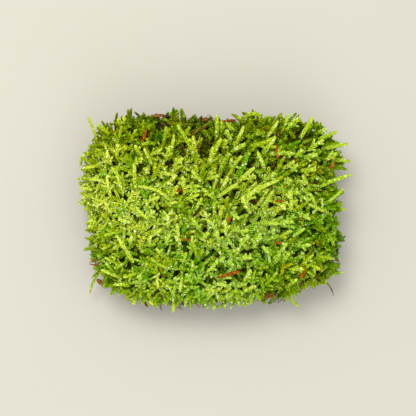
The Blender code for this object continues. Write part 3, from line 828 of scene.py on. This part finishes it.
ZONE_PLACES = np.array([from_picture(zone[0], zone[1]) for zone in ZONES])
ZONE_HEADINGS = np.radians([zone[2] for zone in ZONES])
ZONE_WAYS = np.stack([np.cos(ZONE_HEADINGS), np.sin(ZONE_HEADINGS)], axis=1)
ZONE_VALUES = np.array([zone[3:] for zone in ZONES], float)


def zone_at(place):
    """Heading as a vector, and rise, width, length, greenness and lightness at a place."""
    distance = np.linalg.norm(ZONE_PLACES - place, axis=1)
    weights = np.exp(-distance ** 2 / (2 * ZONE_BLEND ** 2))
    tones = np.exp(-distance ** 2 / (2 * TONE_BLEND ** 2))
    weights /= weights.sum()
    tones /= tones.sum()
    values = np.append(weights @ ZONE_VALUES[:, :3], tones @ ZONE_VALUES[:, 3:])
    return weights @ ZONE_WAYS, values


def gap_circles(share=1.0, more=0.0):
    """The dark gaps, as rows of x, y and radius."""
    return np.array([(*from_picture(x, y), share * PIXEL * r + more) for x, y, r in GAPS])


def apart(places, others):
    """How far each place is from each of the others, as seen from above."""
    return np.linalg.norm(places[:, None, :2] - others[None, :, :2], axis=2)


def in_gap(spine, gaps):
    return (apart(spine.part(0.1, 1.0, 6), gaps) < gaps[None, :, 2]).any()


def in_litter(places):
    """Whether any of the places is in the edge litter."""
    for px, py, reach_x, reach_y, _, _ in EDGE_LITTER:
        offset = (np.asarray(places) - from_picture(px, py)) / (PIXEL * reach_x, PIXEL * reach_y)
        if ((offset ** 2).sum(axis=1) < BARE_SHARE ** 2).any():
            return True
    return False


def held_under(spine, cover_points):
    """How far a spine stands too high below the shoots that lie over it."""
    own = spine.part(0.2, 1.0, 5)
    over = own[:, None, 2] - (cover_points[None, :, 2] - COVER_ROOM)
    return max(0.0, np.where(apart(own, cover_points) < 2.0, over, 0.0).max())


def nearness(spine, cover_points):
    """How close a spine runs to the shoots that lie over the turf: 1 under them, 0 far off."""
    gaps = apart(spine.part(0.3, 1.0, 4), cover_points).min(axis=1)
    return np.exp(-(gaps / COVER_REACH) ** 2).mean()


def clear_light(light):
    """Painted light: a shoot that stands clear is painted lighter, keeping only half of its zone's
    darkening.
    """
    return CLEAR_LIGHT + 0.5 * light


def scattered(rng, reach_x, reach_y, spacing, swing=0.5):
    """Places on a loose grid over the clump."""
    for x in np.arange(-reach_x, reach_x, spacing):
        for y in np.arange(-reach_y, reach_y, spacing):
            yield np.array([x, y]) + rng.uniform(-swing, swing, 2) * spacing


def shown_spines(skin):
    """The spines of the shoots that show singly, with their widths."""
    made = []
    rng = seeded(1)
    for root_x, root_y, tip_x, tip_y, width in SHOWN_SHOOTS:
        root, tip = from_picture(root_x, root_y), from_picture(tip_x, tip_y)
        run = tip - root
        root = root - 0.25 * run
        heights = skin.height([root, tip])
        tip_level = min(max(heights[1], heights[0] - 4) + SHOWN_RISE, HIGHEST_TIP)
        root_level = min(max(heights[0] - 1.0, LOWEST_ROOT), tip_level - 1.5)
        arch = rng.uniform(0.02, 0.08) * np.linalg.norm(run)
        bow = rng.normal(0, 0.04) * np.linalg.norm(run)
        made.append((bent(root, tip, arch, bow, (root_level, tip_level)), width))
    return made


def accent_spines(skin, shown):
    """Spines and widths of more long shoots that lie free on the turf between the shown ones."""
    rng = seeded(9)
    taken = np.concatenate([spine.part(0, 1, 5)[:, :2] for spine, _ in shown])
    gaps = gap_circles()
    made = []
    for place in scattered(rng, 72.0, 56.0, ACCENT_SPACING, 0.45):
        draws = rng.uniform(0, 1, 4)
        swings = rng.normal(0, 1, 2)
        if skin.height([place])[0] < ACCENT_FLOOR:
            continue
        if np.linalg.norm(taken - place, axis=1).min() < ACCENT_CLEARANCE:
            continue
        way, (_, width, length, _, _) = zone_at(place)
        length *= 0.62 + 0.55 * draws[0]
        run = length * toward(math.atan2(way[1], way[0]) + 0.7 * swings[0])
        root, tip = place - 0.5 * run, place + 0.5 * run
        root_skin, tip_skin = skin.height([root, tip])
        if min(root_skin, tip_skin) < UNDER_FLOOR:
            continue
        tip_level = max(tip_skin, root_skin - 4) + SHOWN_RISE - 2.2 * draws[1]
        tip_level = min(tip_level, HIGHEST_TIP)
        root_level = min(root_skin - 1.0 - 1.5 * draws[2], tip_level - 1.5)
        arch, bow = (0.02 + 0.07 * draws[3]) * length, 0.05 * swings[1] * length
        spine = bent(root, tip, arch, bow, (root_level, tip_level))
        if not in_gap(spine, gaps):
            made.append((spine, 1.05 * width))
    return made


def under_spines(skin):
    """Spines, widths and colours of the shaded shoots below the turf's top ones."""
    rng = seeded(8)
    gaps = gap_circles(0.8)
    made = []
    for place in scattered(rng, 76.0, 58.0, UNDER_SPACING):
        level = skin.height([place])[0]
        heading, rise = rng.uniform(0, 2 * math.pi), rng.uniform(0.1, 0.6)
        length, depth, arch, shade = rng.uniform(0, 1, 4)
        if level < UNDER_FLOOR:
            continue
        _, (_, width, _, green, light) = zone_at(place)
        length = 7.0 + 4.0 * length
        way = 0.5 * length * math.cos(rise) * toward(heading)
        tip, root = place + way, place - way
        depth *= UNDER_DEPTH * (0.4 + 0.75 * (width - NARROW_SHOOT))
        tip_level = min(skin.height([tip])[0], level + 2) - depth
        root_level = tip_level - length * math.sin(rise)
        spine = bent(root, tip, (arch - 0.3) * 1.2, 0.0, (root_level, tip_level))
        colour = (light + 0.02 + 0.28 * (2.4 - width) + 0.12 * shade, green + 0.12)
        if in_gap(spine, gaps):
            for point in (spine.root, spine.middle, spine.tip):
                point[2] -= GAP_DEPTH
            # Painted shade: shoots that sink into the dark gaps are darkened.
            colour = (light - 0.44 + 0.18 * shade, green + 0.05)
        made.append((spine, max(1.05 * width, 2.1), colour))
    return made


def draped_way(place, way, skin, shown_places, shown_ways):
    """A zone's way, pulled to that of the shown shoots near by and turned downhill, and the slope."""
    pull = np.exp(-((shown_places - place) ** 2).sum(axis=1) / (2 * SHOWN_BLEND ** 2))
    way = way + SHOWN_PULL * (pull[:, None] * shown_ways).sum(axis=0)
    around = place + SLOPE_REACH * np.array([[1, 0], [-1, 0], [0, 1], [0, -1]])
    east, west, north, south = skin.height(around)
    slope = np.array([west - east, south - north]) / (2 * SLOPE_REACH)
    return unit(way) + DOWNHILL * slope, slope


def top_colour(place, width, light, green, covered, relief, chances):
    """Lightness and hue of a top shoot: by its zone, its patch, a painted shadow from the shoots that
    lie over or near it, painted shade by its height, and by chance.
    """
    sturdy = min(max((width - 1.9) / 0.8, 0.1), 1.0)
    level_chance, light_chance, green_chance = (chance - 0.5 for chance in chances)
    # Painted shade: a shoot whose tip stands lower is darker.
    light += (0.6 + 0.4 * sturdy) * (0.09 * light_chance + 0.11 * level_chance)
    # Painted shadow: a shoot close to the shoots that lie over the turf is darker.
    light += 0.01 - COVER_SHADE * covered * sturdy - 0.08 * max(0.0, width - 2.0)
    light += PATCH_LIGHT * noise.noise(Vector((*place, 31.0)) / PATCH_SIZE)
    # Painted shade and light: shoots in the relief's hollows are darker, on its ridges lighter.
    light += 0.09 * relief
    green += PATCH_GREEN * noise.noise(Vector((*place, 57.0)) / PATCH_SIZE)
    return light, green + 0.76 * green_chance


def top_spines(skin, shown, cover_points):
    """Spines, widths, colours and branching draws of the shoots that fill the turf's top."""
    rng = seeded(2)
    gaps = gap_circles(1.0, 0.5)
    shown_places = np.array([spine.at(0.5)[:2] for spine, _ in shown])
    shown_ways = np.array([unit((spine.tip - spine.root)[:2]) for spine, _ in shown])
    made = []
    for place in scattered(rng, 78.0, 60.0, TOP_SPACING):
        level = skin.height([place])[0]
        long, high_up, arched, lit, hued, thinned, branched = rng.uniform(0, 1, 7)
        swings = rng.normal(0, 1, 4)
        way, (rise, width, length, green, light) = zone_at(place)
        broad = width - NARROW_SHOOT
        if level < TOP_FLOOR or thinned < THINNED * broad:
            continue
        length *= 0.82 + 0.38 * broad
        rise *= 1.0 - 0.22 * broad * (rise < 45)
        way, slope = draped_way(place, way, skin, shown_places, shown_ways)
        way = toward(math.atan2(way[1], way[0]) + HEADING_SPREAD * swings[0])
        width *= 1.06 + 0.10 * swings[1]
        length *= 0.80 + 0.45 * long
        rise = math.radians(rise) + 0.16 * swings[2] - 0.25 * float(slope @ way)
        rise = min(max(rise, 0.05), 1.35)
        half_run = 0.5 * length * math.cos(rise) * way
        tip, root = place + half_run, place - half_run
        tip_level, root_level = skin.height([tip, root])
        broad = width - NARROW_SHOOT
        relief = (0.4 + broad) * noise.noise(Vector((*tip, 5.0)) / RELIEF_SPACING)
        tip_level = max(tip_level, level - 7.0) + RELIEF * relief
        low, high = TIP_ABOVE_SKIN
        high *= min(0.5 + 0.6 * broad, 1.1)
        tip_level = min(tip_level + low + (high - low) * high_up, HIGHEST_TIP)
        fallen = max(tip_level - length * math.sin(rise), root_level - ROOT_BELOW_SKIN)
        root_level = min(fallen, root_level - 1.0)
        arch, bow = (0.02 + 0.08 * arched) * length, 0.05 * swings[3] * length
        spine = bent(root, tip, arch, bow, (root_level, tip_level))
        if in_gap(spine, gaps) or in_litter([tip, place]):
            continue
        drop = held_under(spine, cover_points)
        if drop > DEEPEST_DROP:
            continue
        covered = nearness(spine, cover_points)
        spine.tip[2] -= drop
        spine.middle[2] -= 0.7 * drop
        chances = (high_up, lit, hued)
        colour = top_colour(place, width, light, green, covered, relief, chances)
        bare = covered > CROWDED and width > FEATHERED_BELOW
        made.append((spine, width, colour, 1.0 if bare else branched))
    return made


def tucked(spine, outward):
    """A side shoot laid back into the turf, behind the litter that it would hide."""
    out = np.array([*outward, 0.0])
    ends = []
    for place in (spine.middle, spine.tip):
        ahead = (place - spine.root) @ out - TUCKED_REACH
        ends.append(place - max(0.0, ahead) * out)
    return Spine(spine.root, *ends)


def side_spines(skin):
    """Spines, widths, colours and outward ways of the shoots that lean out of the sides."""
    rng = seeded(3)
    count = int(SIDE_GIRTH / SIDE_SPACING)
    made = []
    for level, number in product(np.arange(10.5, 28.5, SIDE_SPACING * 0.8), range(count)):
        turn = 2 * math.pi * (number + rng.uniform(-0.4, 0.4)) / count
        own_level = level + rng.uniform(-1.4, 1.4)
        reach = skin.reach(turn, own_level)
        draws = rng.uniform(0, 1, 6)
        swings = rng.normal(0, 1, 3)
        if reach < 20:
            continue
        ahead, behind = (skin.reach(turn + s, own_level) * toward(turn + s) for s in (0.05, -0.05))
        step = ahead - behind
        outward = unit(np.array([step[1], -step[0]]))
        place = reach * toward(turn)
        along = np.array([-outward[1], outward[0]])
        root = place - outward * (2.6 + 2.0 * draws[0])
        fringe = 1.5 * noise.noise(Vector((*place, 2.0 * own_level)) / FRINGE_SPACING)
        place = place + outward * fringe
        tip = place + outward * (0.1 + 5.0 * draws[1] ** 2) + along * 3.2 * swings[0]
        rise = 0.8 + 6.5 * draws[2]
        root_level = max(own_level - 1.0, 9.6)
        arch = 0.10 * (draws[3] - 0.2)
        if own_level < DROOP_BELOW and draws[5] < DROOP_SHARE:
            rise = 3.0 + 5.0 * draws[2] - root_level
            tip = place + outward * (1.5 + 2.5 * draws[1]) + along * 2.0 * swings[0]
            arch = 0.26
        _, (_, width, length, green, light) = zone_at(place)
        width *= 0.92 + 0.08 * swings[1]
        bow = 0.05 * swings[2] * length
        spine = bent(root, tip, arch * length, bow, (root_level, root_level + rise))
        # Painted shade: side shoots are darker the lower they sit.
        shade = 0.16 * (1 - (own_level - 10) / 18)
        light = light - 0.04 - shade + 0.12 * (draws[4] - 0.5)
        made.append((spine, width, (light, green + 0.10), outward))
    return made


def add_parts(parts, stem, finishes):
    """One piece for each joined part of the turf, numbered in the order of their keys."""
    for number, key in enumerate(sorted(parts), 1):
        name = f"{stem}_{number}"
        add_piece(name, parts[key].mesh(name), finishes["moss"], "living_moss", "moss_turf")


def make_top(skin, finishes, shown, cover_points, rng):
    """The shoots of the turf's top, joined in eight parts: four columns in two rows."""
    up = np.array([0.0, -0.12, 0.99])
    tops = {}

    def part_of(spine):
        column = int(np.clip((spine.tip[0] + 2 * COLUMN) // COLUMN, 0, 3))
        return tops.setdefault((column, int(spine.tip[1] > 0)), Joined())

    for spine, width, colour, draw in top_spines(skin, shown, cover_points):
        joined = part_of(spine)
        add_shoot(joined, spine, width, COARSE if width < 2.2 else USUAL, colour, up, rng)
        if width < FEATHERED_BELOW and draw < FEATHERED_SHARE:
            count = int(rng.integers(4, 7))
            add_branches(joined, spine, width, colour, up, rng, count, 0.56)
        elif draw < BRANCHED_SHARE:
            add_branches(joined, spine, width, colour, up, rng, int(rng.integers(2, 4)))
    for spine, width, colour in under_spines(skin):
        add_shoot(part_of(spine), spine, width, COARSE, colour, up, rng, 0.85)
    for number, (spine, width) in enumerate(shown):
        joined = part_of(spine)
        _, (_, _, _, green, light) = zone_at(spine.tip[:2])
        # Painted light: shoots that lie free on top are painted lighter than their zone.
        light = clear_light(light) if number < len(SHOWN_SHOOTS) else light + 0.18
        colour = (light + rng.normal(0, 0.04), green - 0.04 + rng.normal(0, 0.08))
        add_shoot(joined, spine, width, USUAL, colour, up, rng, 1.1)
        add_branches(joined, spine, width, colour, up, rng, int(rng.integers(1, 4)))
    add_parts(tops, "turf_top", finishes)


def make_sides(skin, finishes, litter_points, rng):
    """The shoots of the turf's sides, joined in four parts."""
    sides = {}
    for spine, width, colour, outward in side_spines(skin):
        over_litter = spine.tip[2] > LITTER_LEVEL and in_litter([spine.tip[:2]])
        if over_litter or held_under(spine, litter_points) > 1.0:
            spine = tucked(spine, outward)
            # Painted shade: a shoot laid back under the litter is darker.
            colour = (colour[0] - TUCKED_SHADE, colour[1])
        turn = (math.atan2(outward[1], outward[0]) + math.pi / 4) % (2 * math.pi)
        joined = sides.setdefault(int(turn // (math.pi / 2)), Joined())
        add_shoot(joined, spine, width, COARSE, colour, unit(np.array([*outward, 0.6])), rng)
    add_parts(sides, "turf_side", finishes)


def spine_of(node):
    """A spine through a CAD shoot's or stem's own solid, from its root to its tip, and its width."""
    points = np.unique(np.round(node_points(node), 4), axis=0)
    middle = points.mean(axis=0)
    _, _, axes = np.linalg.svd(points - middle)
    along = (points - middle) @ axes[0]
    t = (along - along.min()) / (along.max() - along.min())
    terms = np.stack([np.ones_like(t), t, t * t], axis=1)
    fit, *_ = np.linalg.lstsq(terms, points, rcond=None)
    start, end = fit[0], fit.sum(axis=0)
    bend = start + fit[1] / 2
    width = 2 * np.median(np.linalg.norm(points - terms @ fit, axis=1))
    rank = [p[2] + 0.5 * math.hypot(p[0], p[1]) for p in (start, end)]
    if rank[0] > rank[1]:
        start, end = end, start
    return Spine(start, bend, end), width


def make_loose_shoots(finishes):
    """The shoots that have a solid of their own, each with finely cut leaves."""
    rng = seeded(5)
    spines = []
    for name in sorted(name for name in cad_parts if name.startswith("loose_shoot")):
        spine, width = spine_of(name)
        width = max(1.5, 1.12 * width)
        _, (_, _, _, green, light) = zone_at(spine.tip[:2])
        # Painted light: the loose shoots stand clear, so they are painted lighter than their zone.
        colour = (clear_light(light), green - 0.05 + rng.normal(0, 0.05))
        joined = Joined()
        add_shoot(joined, spine, width, FINE, colour, None, rng, 1.15)
        piece = name.replace("loose", "leafy")
        add_piece(piece, joined.mesh(piece), finishes["moss"], "living_moss", name)
        spines.append((spine, width))
    return spines


def make_heart(skin, finishes):
    """The shaded old stems and humus inside the turf, which show between its shoots. Their dark
    finish is partly their own brown and partly painted shade.
    """
    bm = bmesh.new()
    bmesh.ops.create_circle(bm, cap_ends=False, segments=120, radius=50.0)
    low = SKIN_FLOOR + 0.6

    def on_side(turn, level):
        return (*((skin.reach(turn, level) - HEART_INSET) * toward(turn)), level)

    def on_top(turn, share):
        place = share * (skin.reach(turn, 22.0) - HEART_INSET) * toward(turn)
        return (*place, max(skin.height([place])[0] - HEART_DEPTH, 18.0))

    def turn_of(vert):
        return math.atan2(vert.co.y, vert.co.x)

    for vert in bm.verts:
        vert.co = on_side(turn_of(vert), low)
    rim = list(bm.edges)
    bmesh.ops.edgeloop_fill(bm, edges=rim)
    moves = [(on_side, level) for level in (13.0, 17.0)]
    moves += [(on_top, share) for share in np.linspace(0.98, 0.03, 30)]
    for move, value in moves:
        drawn = bmesh.ops.extrude_edge_only(bm, edges=rim)["geom"]
        for vert in (item for item in drawn if isinstance(item, bmesh.types.BMVert)):
            vert.co = move(turn_of(vert), value)
        rim = [item for item in drawn if isinstance(item, bmesh.types.BMEdge)]
    bmesh.ops.edgeloop_fill(bm, edges=rim)
    bmesh.ops.recalc_face_normals(bm, faces=bm.faces)
    bm.normal_update()
    for vert in bm.verts:
        if vert.co.z > low + 0.1:
            bump = noise.noise(vert.co / 3.0) + 0.6 * noise.noise(vert.co / 1.3)
            vert.co += vert.normal * 0.9 * bump
    mesh = mesh_from(bm, "turf_heart")
    mesh.shade_smooth()
    add_piece("turf_heart", mesh, finishes["humus"], "dead_moss", "moss_turf")


def make_pad(finishes):
    """The cut pad of dead stems, lumpy on its sides and flat on its cut."""
    bm = bmesh.new()
    bm.from_mesh(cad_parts["brown_mat"].data)
    bmesh.ops.remove_doubles(bm, verts=bm.verts, dist=0.01 * MM)
    bmesh.ops.scale(bm, vec=(1 / MM, 1 / MM, 1 / MM), verts=bm.verts)
    bmesh.ops.triangulate(bm, faces=bm.faces)
    side = [edge for edge in bm.edges if max(vert.co.z for vert in edge.verts) > 0.1]
    bmesh.ops.subdivide_edges(bm, edges=side, cuts=3, use_grid_fill=True)
    bm.normal_update()
    for vert in bm.verts:
        if 0.2 < vert.co.z < PAD_TOP:
            bump = noise.noise(vert.co / 2.2) + 0.7 * noise.noise(vert.co / 0.9)
            vert.co += vert.normal * 0.7 * bump
            vert.co.z = max(vert.co.z, 0.15)
    mesh = mesh_from(bm, "stem_pad")
    add_piece("stem_pad", mesh, finishes["pad"], "dead_moss", "brown_mat")


def make_mat_stems(finishes):
    """Dead stems that lie on the pad's sides and round it, some with dead leaves."""
    rng = seeded(6)
    shell = shell_of("brown_mat")
    joined = Joined()
    for number in range(MAT_STEMS):
        turn = rng.uniform(0, 2 * math.pi)
        level = rng.uniform(0.9, 10.5)
        outward = np.array([*toward(turn), 0.0])
        start = Vector((*(outward[:2] * 120), min(level, 8.4)))
        hit = shell.ray_cast(start, Vector(-outward))[0]
        if not hit:
            continue
        place = np.array([hit.x, hit.y, level])
        around = np.array([-outward[1], outward[0], 0.0])
        swing = rng.normal(0, 1, 3)
        way = around * rng.choice((-1, 1)) + outward * (0.25 + 0.35 * swing[0])
        way = unit(way + np.array([0, 0, 0.35 * swing[1]]))
        length = rng.uniform(3.5, 9.0)
        tip = place + way * length
        tip[2] = min(max(tip[2], 0.5), 12.0)
        inner = place - outward * 1.2 - way * 0.3 * length
        inner[2] = max(inner[2], 0.6)
        spine = bent(inner, tip, 0.10 * swing[2] * length, 0.12 * rng.normal() * length)
        line = spine.part(0, 1, 6)
        line[:, 2] = np.maximum(line[:, 2], 0.45)
        radius = rng.uniform(0.16, 0.36) * np.array([1.0, 1.0, 0.95, 0.85, 0.7, 0.4])
        add_tube(joined, line, radius, 3, (rng.uniform(0.1, 0.95), rng.uniform(0, 1)))
        if number % 6 == 0 and line[:, 2].min() > 1.8:
            colour = (rng.uniform(0.3, 0.75), rng.uniform(0, 0.8))
            add_leaves(joined, spine, 1.7, COARSE, colour, None, rng, 0.8)
    mesh = joined.mesh("mat_stems")
    add_piece("mat_stems", mesh, finishes["dead_moss"], "dead_moss", "brown_mat")


def ringed(name, spine, widths, thickness, sides, rough, rng):
    """A closed mesh of rings along a spine, with a little unevenness: a needle, stem or husk."""
    bm = bmesh.new()
    t = np.linspace(0, 1, len(widths))
    level = np.cross(spine.way(0.5), (0.0, 0.0, 1.0))
    loops = []
    for place, way, width in zip(spine.at(t), spine.way(t), widths):
        across = unit(level - way * (way @ level))
        up = np.cross(across, way)
        ring = bmesh.ops.create_circle(bm, segments=sides, radius=0.5)["verts"]
        for vert in ring:
            bump = 1.0 + rough * rng.normal()
            x, y = vert.co.x * width * bump, vert.co.y * thickness * width * bump
            vert.co = place + across * x + up * y
        loops.append(list(dict.fromkeys(edge for vert in ring for edge in vert.link_edges)))
    for lower, upper in zip(loops, loops[1:]):
        bmesh.ops.bridge_loops(bm, edges=lower + upper)
    for loop in (loops[0], loops[-1]):
        bmesh.ops.edgeloop_fill(bm, edges=loop)
    bmesh.ops.recalc_face_normals(bm, faces=bm.faces)
    mesh = mesh_from(bm, name)
    mesh.shade_smooth()
    return mesh


def make_litter(finishes):
    """Needles, bud scales, scraps of leaf and bare stems, each in its own solid's place."""
    rng = seeded(7)
    laid = []
    t = np.linspace(0, 1, 12)
    blade = np.clip(np.sin(np.pi * (0.04 + 0.92 * t)) ** 0.6, 0.12, 1)
    husk = np.clip(np.sin(np.pi * (0.03 + 0.94 * t ** 0.72)) ** 0.9, 0.14, 1)
    knotty = 1.0 + 0.16 * np.sin(t * 19) - 0.3 * t
    kinds = {
        "needle": ("dry_needle", husk, 0.45, 7, 0.02, "needles", "needle"),
        "bud_scale": ("husk", husk, 0.36, 9, 0.05, "bud_scales", "bud_scale"),
        "leaf_scrap": ("leaf_flake", blade, 0.16, 9, 0.10, "dead_leaf", "leaf"),
        "dead_stem": ("bare_stem", knotty, 1.0, 7, 0.07, "dead_stems", "stem"),
    }
    for node in sorted(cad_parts):
        kind, number = node.rsplit("_", 1)
        if kind not in kinds:
            continue
        name, profile, thickness, sides, rough, slot, finish = kinds[kind]
        spine, _ = spine_of(node)
        run = unit(spine.tip - spine.root)
        points = node_points(node)
        flat = unit(np.array([-run[1], run[0], 0.0]))
        width = max(LEAST_WIDTH, np.ptp((points - points.mean(axis=0)) @ flat))
        if kind == "dead_stem":
            width = LEAST_WIDTH
        uneven = 1.0 + 0.16 * np.sin(rng.uniform(4, 11) * t + rng.uniform(0, ANY_TURN))
        piece = f"{name}_{number}"
        made = ringed(piece, spine, width * profile * uneven, thickness, sides, rough, rng)
        add_piece(piece, made, finishes[finish], slot, node)
        laid.append(spine.part(0.2, 0.75, 5) + np.array([0, 0, 0.9]))
    return np.concatenate(laid)


def add_litter_bit(joined, place, level, light, lengths, rng):
    """A broken stem or a crumb of dead leaf that lies at a level."""
    heading = rng.uniform(0, 2 * math.pi)
    length = rng.uniform(*lengths)
    run = length * toward(heading)
    lift = rng.normal(0, 0.16) * length
    arch = rng.normal(0, 0.08) * length
    bow = rng.normal(0, 0.14) * length
    levels = (level - lift, level + lift)
    spine = bent(place - 0.5 * run, place + 0.5 * run, arch, bow, levels)
    square = (light + rng.uniform(-0.3, 0.3), rng.uniform(0, 1))
    if rng.uniform(0, 1) < CRUMB_SHARE:
        shape, triangles, inside = LEAVES[FINE]
        length, half = 0.6 * length, rng.uniform(0.5, 1.1)
        way = spine.way(0.5)
        side = unit(np.cross(way, (0.2 * lift, 0.3, 1.0)))
        up = 0.5 * length * np.cross(side, way)
        points = leaf_points(shape, spine.root, half * side, length * way, up)
        joined.add(points[None], triangles, np.array([square]), inside)
        return
    radius = rng.uniform(0.14, 0.34) * np.array([0.8, 1.0, 1.0, 0.8, 0.4])
    add_tube(joined, spine.part(0, 1, 5), radius, 4, square)


def add_flecks(joined, skin, rng):
    """Small flecks of scale and leaf that lie on the moss."""
    hues = {"orange": 0.0, "red": 0.25, "tan": 0.9}
    shape, triangles, inside = LEAVES[FINE]
    for px, py, length, turn, colour in FLECKS:
        place = from_picture(px, py)
        level = skin.height([place])[0] + 3.4
        along = unit(np.array([*toward(math.radians(turn)), rng.normal(0, 0.35)]))
        side = unit(np.cross(along, (rng.normal(0, 0.3), rng.normal(0, 0.3), 1.0)))
        base = np.array([*place, level]) - 0.5 * length * along
        up = length * np.cross(side, along)
        points = leaf_points(shape, base, 0.34 * length * side, length * along, up)
        square = (rng.uniform(0.45, 0.9), hues[colour])
        joined.add(points[None], triangles, np.array([square]), inside)


def near_pixel(px, py, reach, rng):
    """A place in millimetres, at most reach pixels across and down from a pixel."""
    offset = rng.uniform(-1, 1, 2) * reach
    return from_picture(px + offset[0], py + offset[1])


def add_broken_stems(joined, skin, rng):
    """Broken brown stems and crumbs at the turf's edge and in its brown gaps."""
    for px, py, reach_x, reach_y, count, light in EDGE_LITTER:
        for _ in range(count):
            place = near_pixel(px, py, (reach_x, reach_y), rng)
            level = max(skin.height([place])[0] - 0.5, 11.0) + rng.uniform(-1.0, 2.4)
            below = CAMERA_AIM[2] - level
            place[1] += 0.8 * below / math.tan(math.radians(CAMERA_ELEVATION))
            turn = math.atan2(place[1], place[0])
            place *= min(1.0, (skin.reach(turn, level) + 0.8) / np.linalg.norm(place))
            add_litter_bit(joined, place, level, light, EDGE_BIT, rng)
    for px, py, radius in GAPS:
        _, (_, width, _, green, _) = zone_at(from_picture(px, py))
        if width < FEATHERED_BELOW or green > GREEN_GAPS:
            continue
        for _ in range(GAP_BITS):
            place = near_pixel(px, py, 0.7 * radius, rng)
            level = skin.height([place])[0] - rng.uniform(1.0, 3.6)
            add_litter_bit(joined, place, level, GAP_BIT_LIGHT, GAP_BIT, rng)


def add_wisps(joined, skin, rng):
    """Straw-thin dead stems that lie over the moss."""
    for pixels in WISPS:
        places = [from_picture(*pixel) for pixel in pixels]
        levels = np.maximum(skin.height(places), 14.0) + np.array([1.6, 4.4, 3.4])
        spine = Spine(*[(*place, level) for place, level in zip(places, levels)])
        radius = 0.17 * np.array([0.8, 1, 1, 1, 1, 0.9, 0.8, 0.7, 0.5])
        add_tube(joined, spine.part(0, 1, 9), radius, 5, (rng.uniform(0.45, 0.85), 1.0))


def make_flecks(skin, finishes):
    """All the small litter on the turf, as one piece."""
    rng = seeded(10)
    joined = Joined()
    for add in (add_flecks, add_broken_stems, add_wisps):
        add(joined, skin, rng)
    piece = "litter_flecks"
    add_piece(piece, joined.mesh(piece), finishes["flecks"], "bud_scales", "moss_turf")


def make_floor():
    bm = bmesh.new()
    bmesh.ops.create_grid(bm, x_segments=1, y_segments=1, size=FLOOR_REACH)
    mesh = mesh_from(bm, "floor")
    floor = bpy.data.objects.new("floor", mesh)
    bpy.context.scene.collection.objects.link(floor)
    # Matt studio board, a plain grey
    material, shader = new_material("matt_studio_board", Roughness=0.9)
    shader.inputs["Base Color"].default_value = linear("#949490")
    mesh.materials.append(material)
    floor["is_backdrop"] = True


def aim(thing, place, target):
    """Sets a lamp or camera at a place in millimetres, turned to a target."""
    thing.location = Vector(place) * MM
    thing.rotation_mode = "QUATERNION"
    thing.rotation_quaternion = (Vector(target) - Vector(place)).to_track_quat("-Z", "Y")
    bpy.context.scene.collection.objects.link(thing)


def make_light(name, place, target, width, watts, colour):
    data = bpy.data.lights.new(name, "AREA")
    data.size = width * MM
    data.energy = watts
    data.color = linear(colour)[:3]
    aim(bpy.data.objects.new(name, data), place, target)


def make_studio():
    """Camera, lights and background."""
    scene = bpy.context.scene
    scene.view_settings.view_transform = "Standard"
    world = bpy.data.worlds.new("studio")
    world.use_nodes = True
    background = world.node_tree.nodes["Background"]
    background.inputs["Color"].default_value = linear("#d0ccc0")
    background.inputs["Strength"].default_value = SKY_STRENGTH
    scene.world = world
    make_light("key", (-200, 260, 800), (0, 0, 25), 420, KEY_WATTS, "#fffaf2")
    make_light("front_fill", (150, -700, 420), (0, 0, 20), 600, FILL_WATTS, "#fbfbff")
    data = bpy.data.cameras.new("camera")
    data.sensor_width = SENSOR
    data.lens = SENSOR * CAMERA_DISTANCE / (PICTURE_SIZE * PIXEL)
    data.clip_start = 0.01
    data.clip_end = 10.0
    camera = bpy.data.objects.new("camera", data)
    rise = math.radians(CAMERA_ELEVATION)
    back = Vector((0, -math.cos(rise), math.sin(rise)))
    aim(camera, Vector(CAMERA_AIM) + back * CAMERA_DISTANCE, CAMERA_AIM)
    scene.camera = camera


def main():
    finishes = make_finishes()
    skin = Skin("moss_turf")
    loose = make_loose_shoots(finishes)
    shown = shown_spines(skin)
    shown += accent_spines(skin, shown)
    litter_points = make_litter(finishes)
    cover = [spine.part(0.25, 1.0, 7) for spine, _ in loose + shown]
    cover_points = np.concatenate([*cover, litter_points])
    rng = seeded(4)
    make_top(skin, finishes, shown, cover_points, rng)
    make_sides(skin, finishes, litter_points, rng)
    make_flecks(skin, finishes)
    make_heart(skin, finishes)
    make_pad(finishes)
    make_mat_stems(finishes)
    make_floor()
    make_studio()


main()
[[list(corner) for corner in box] for box in (cad_box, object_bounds())]
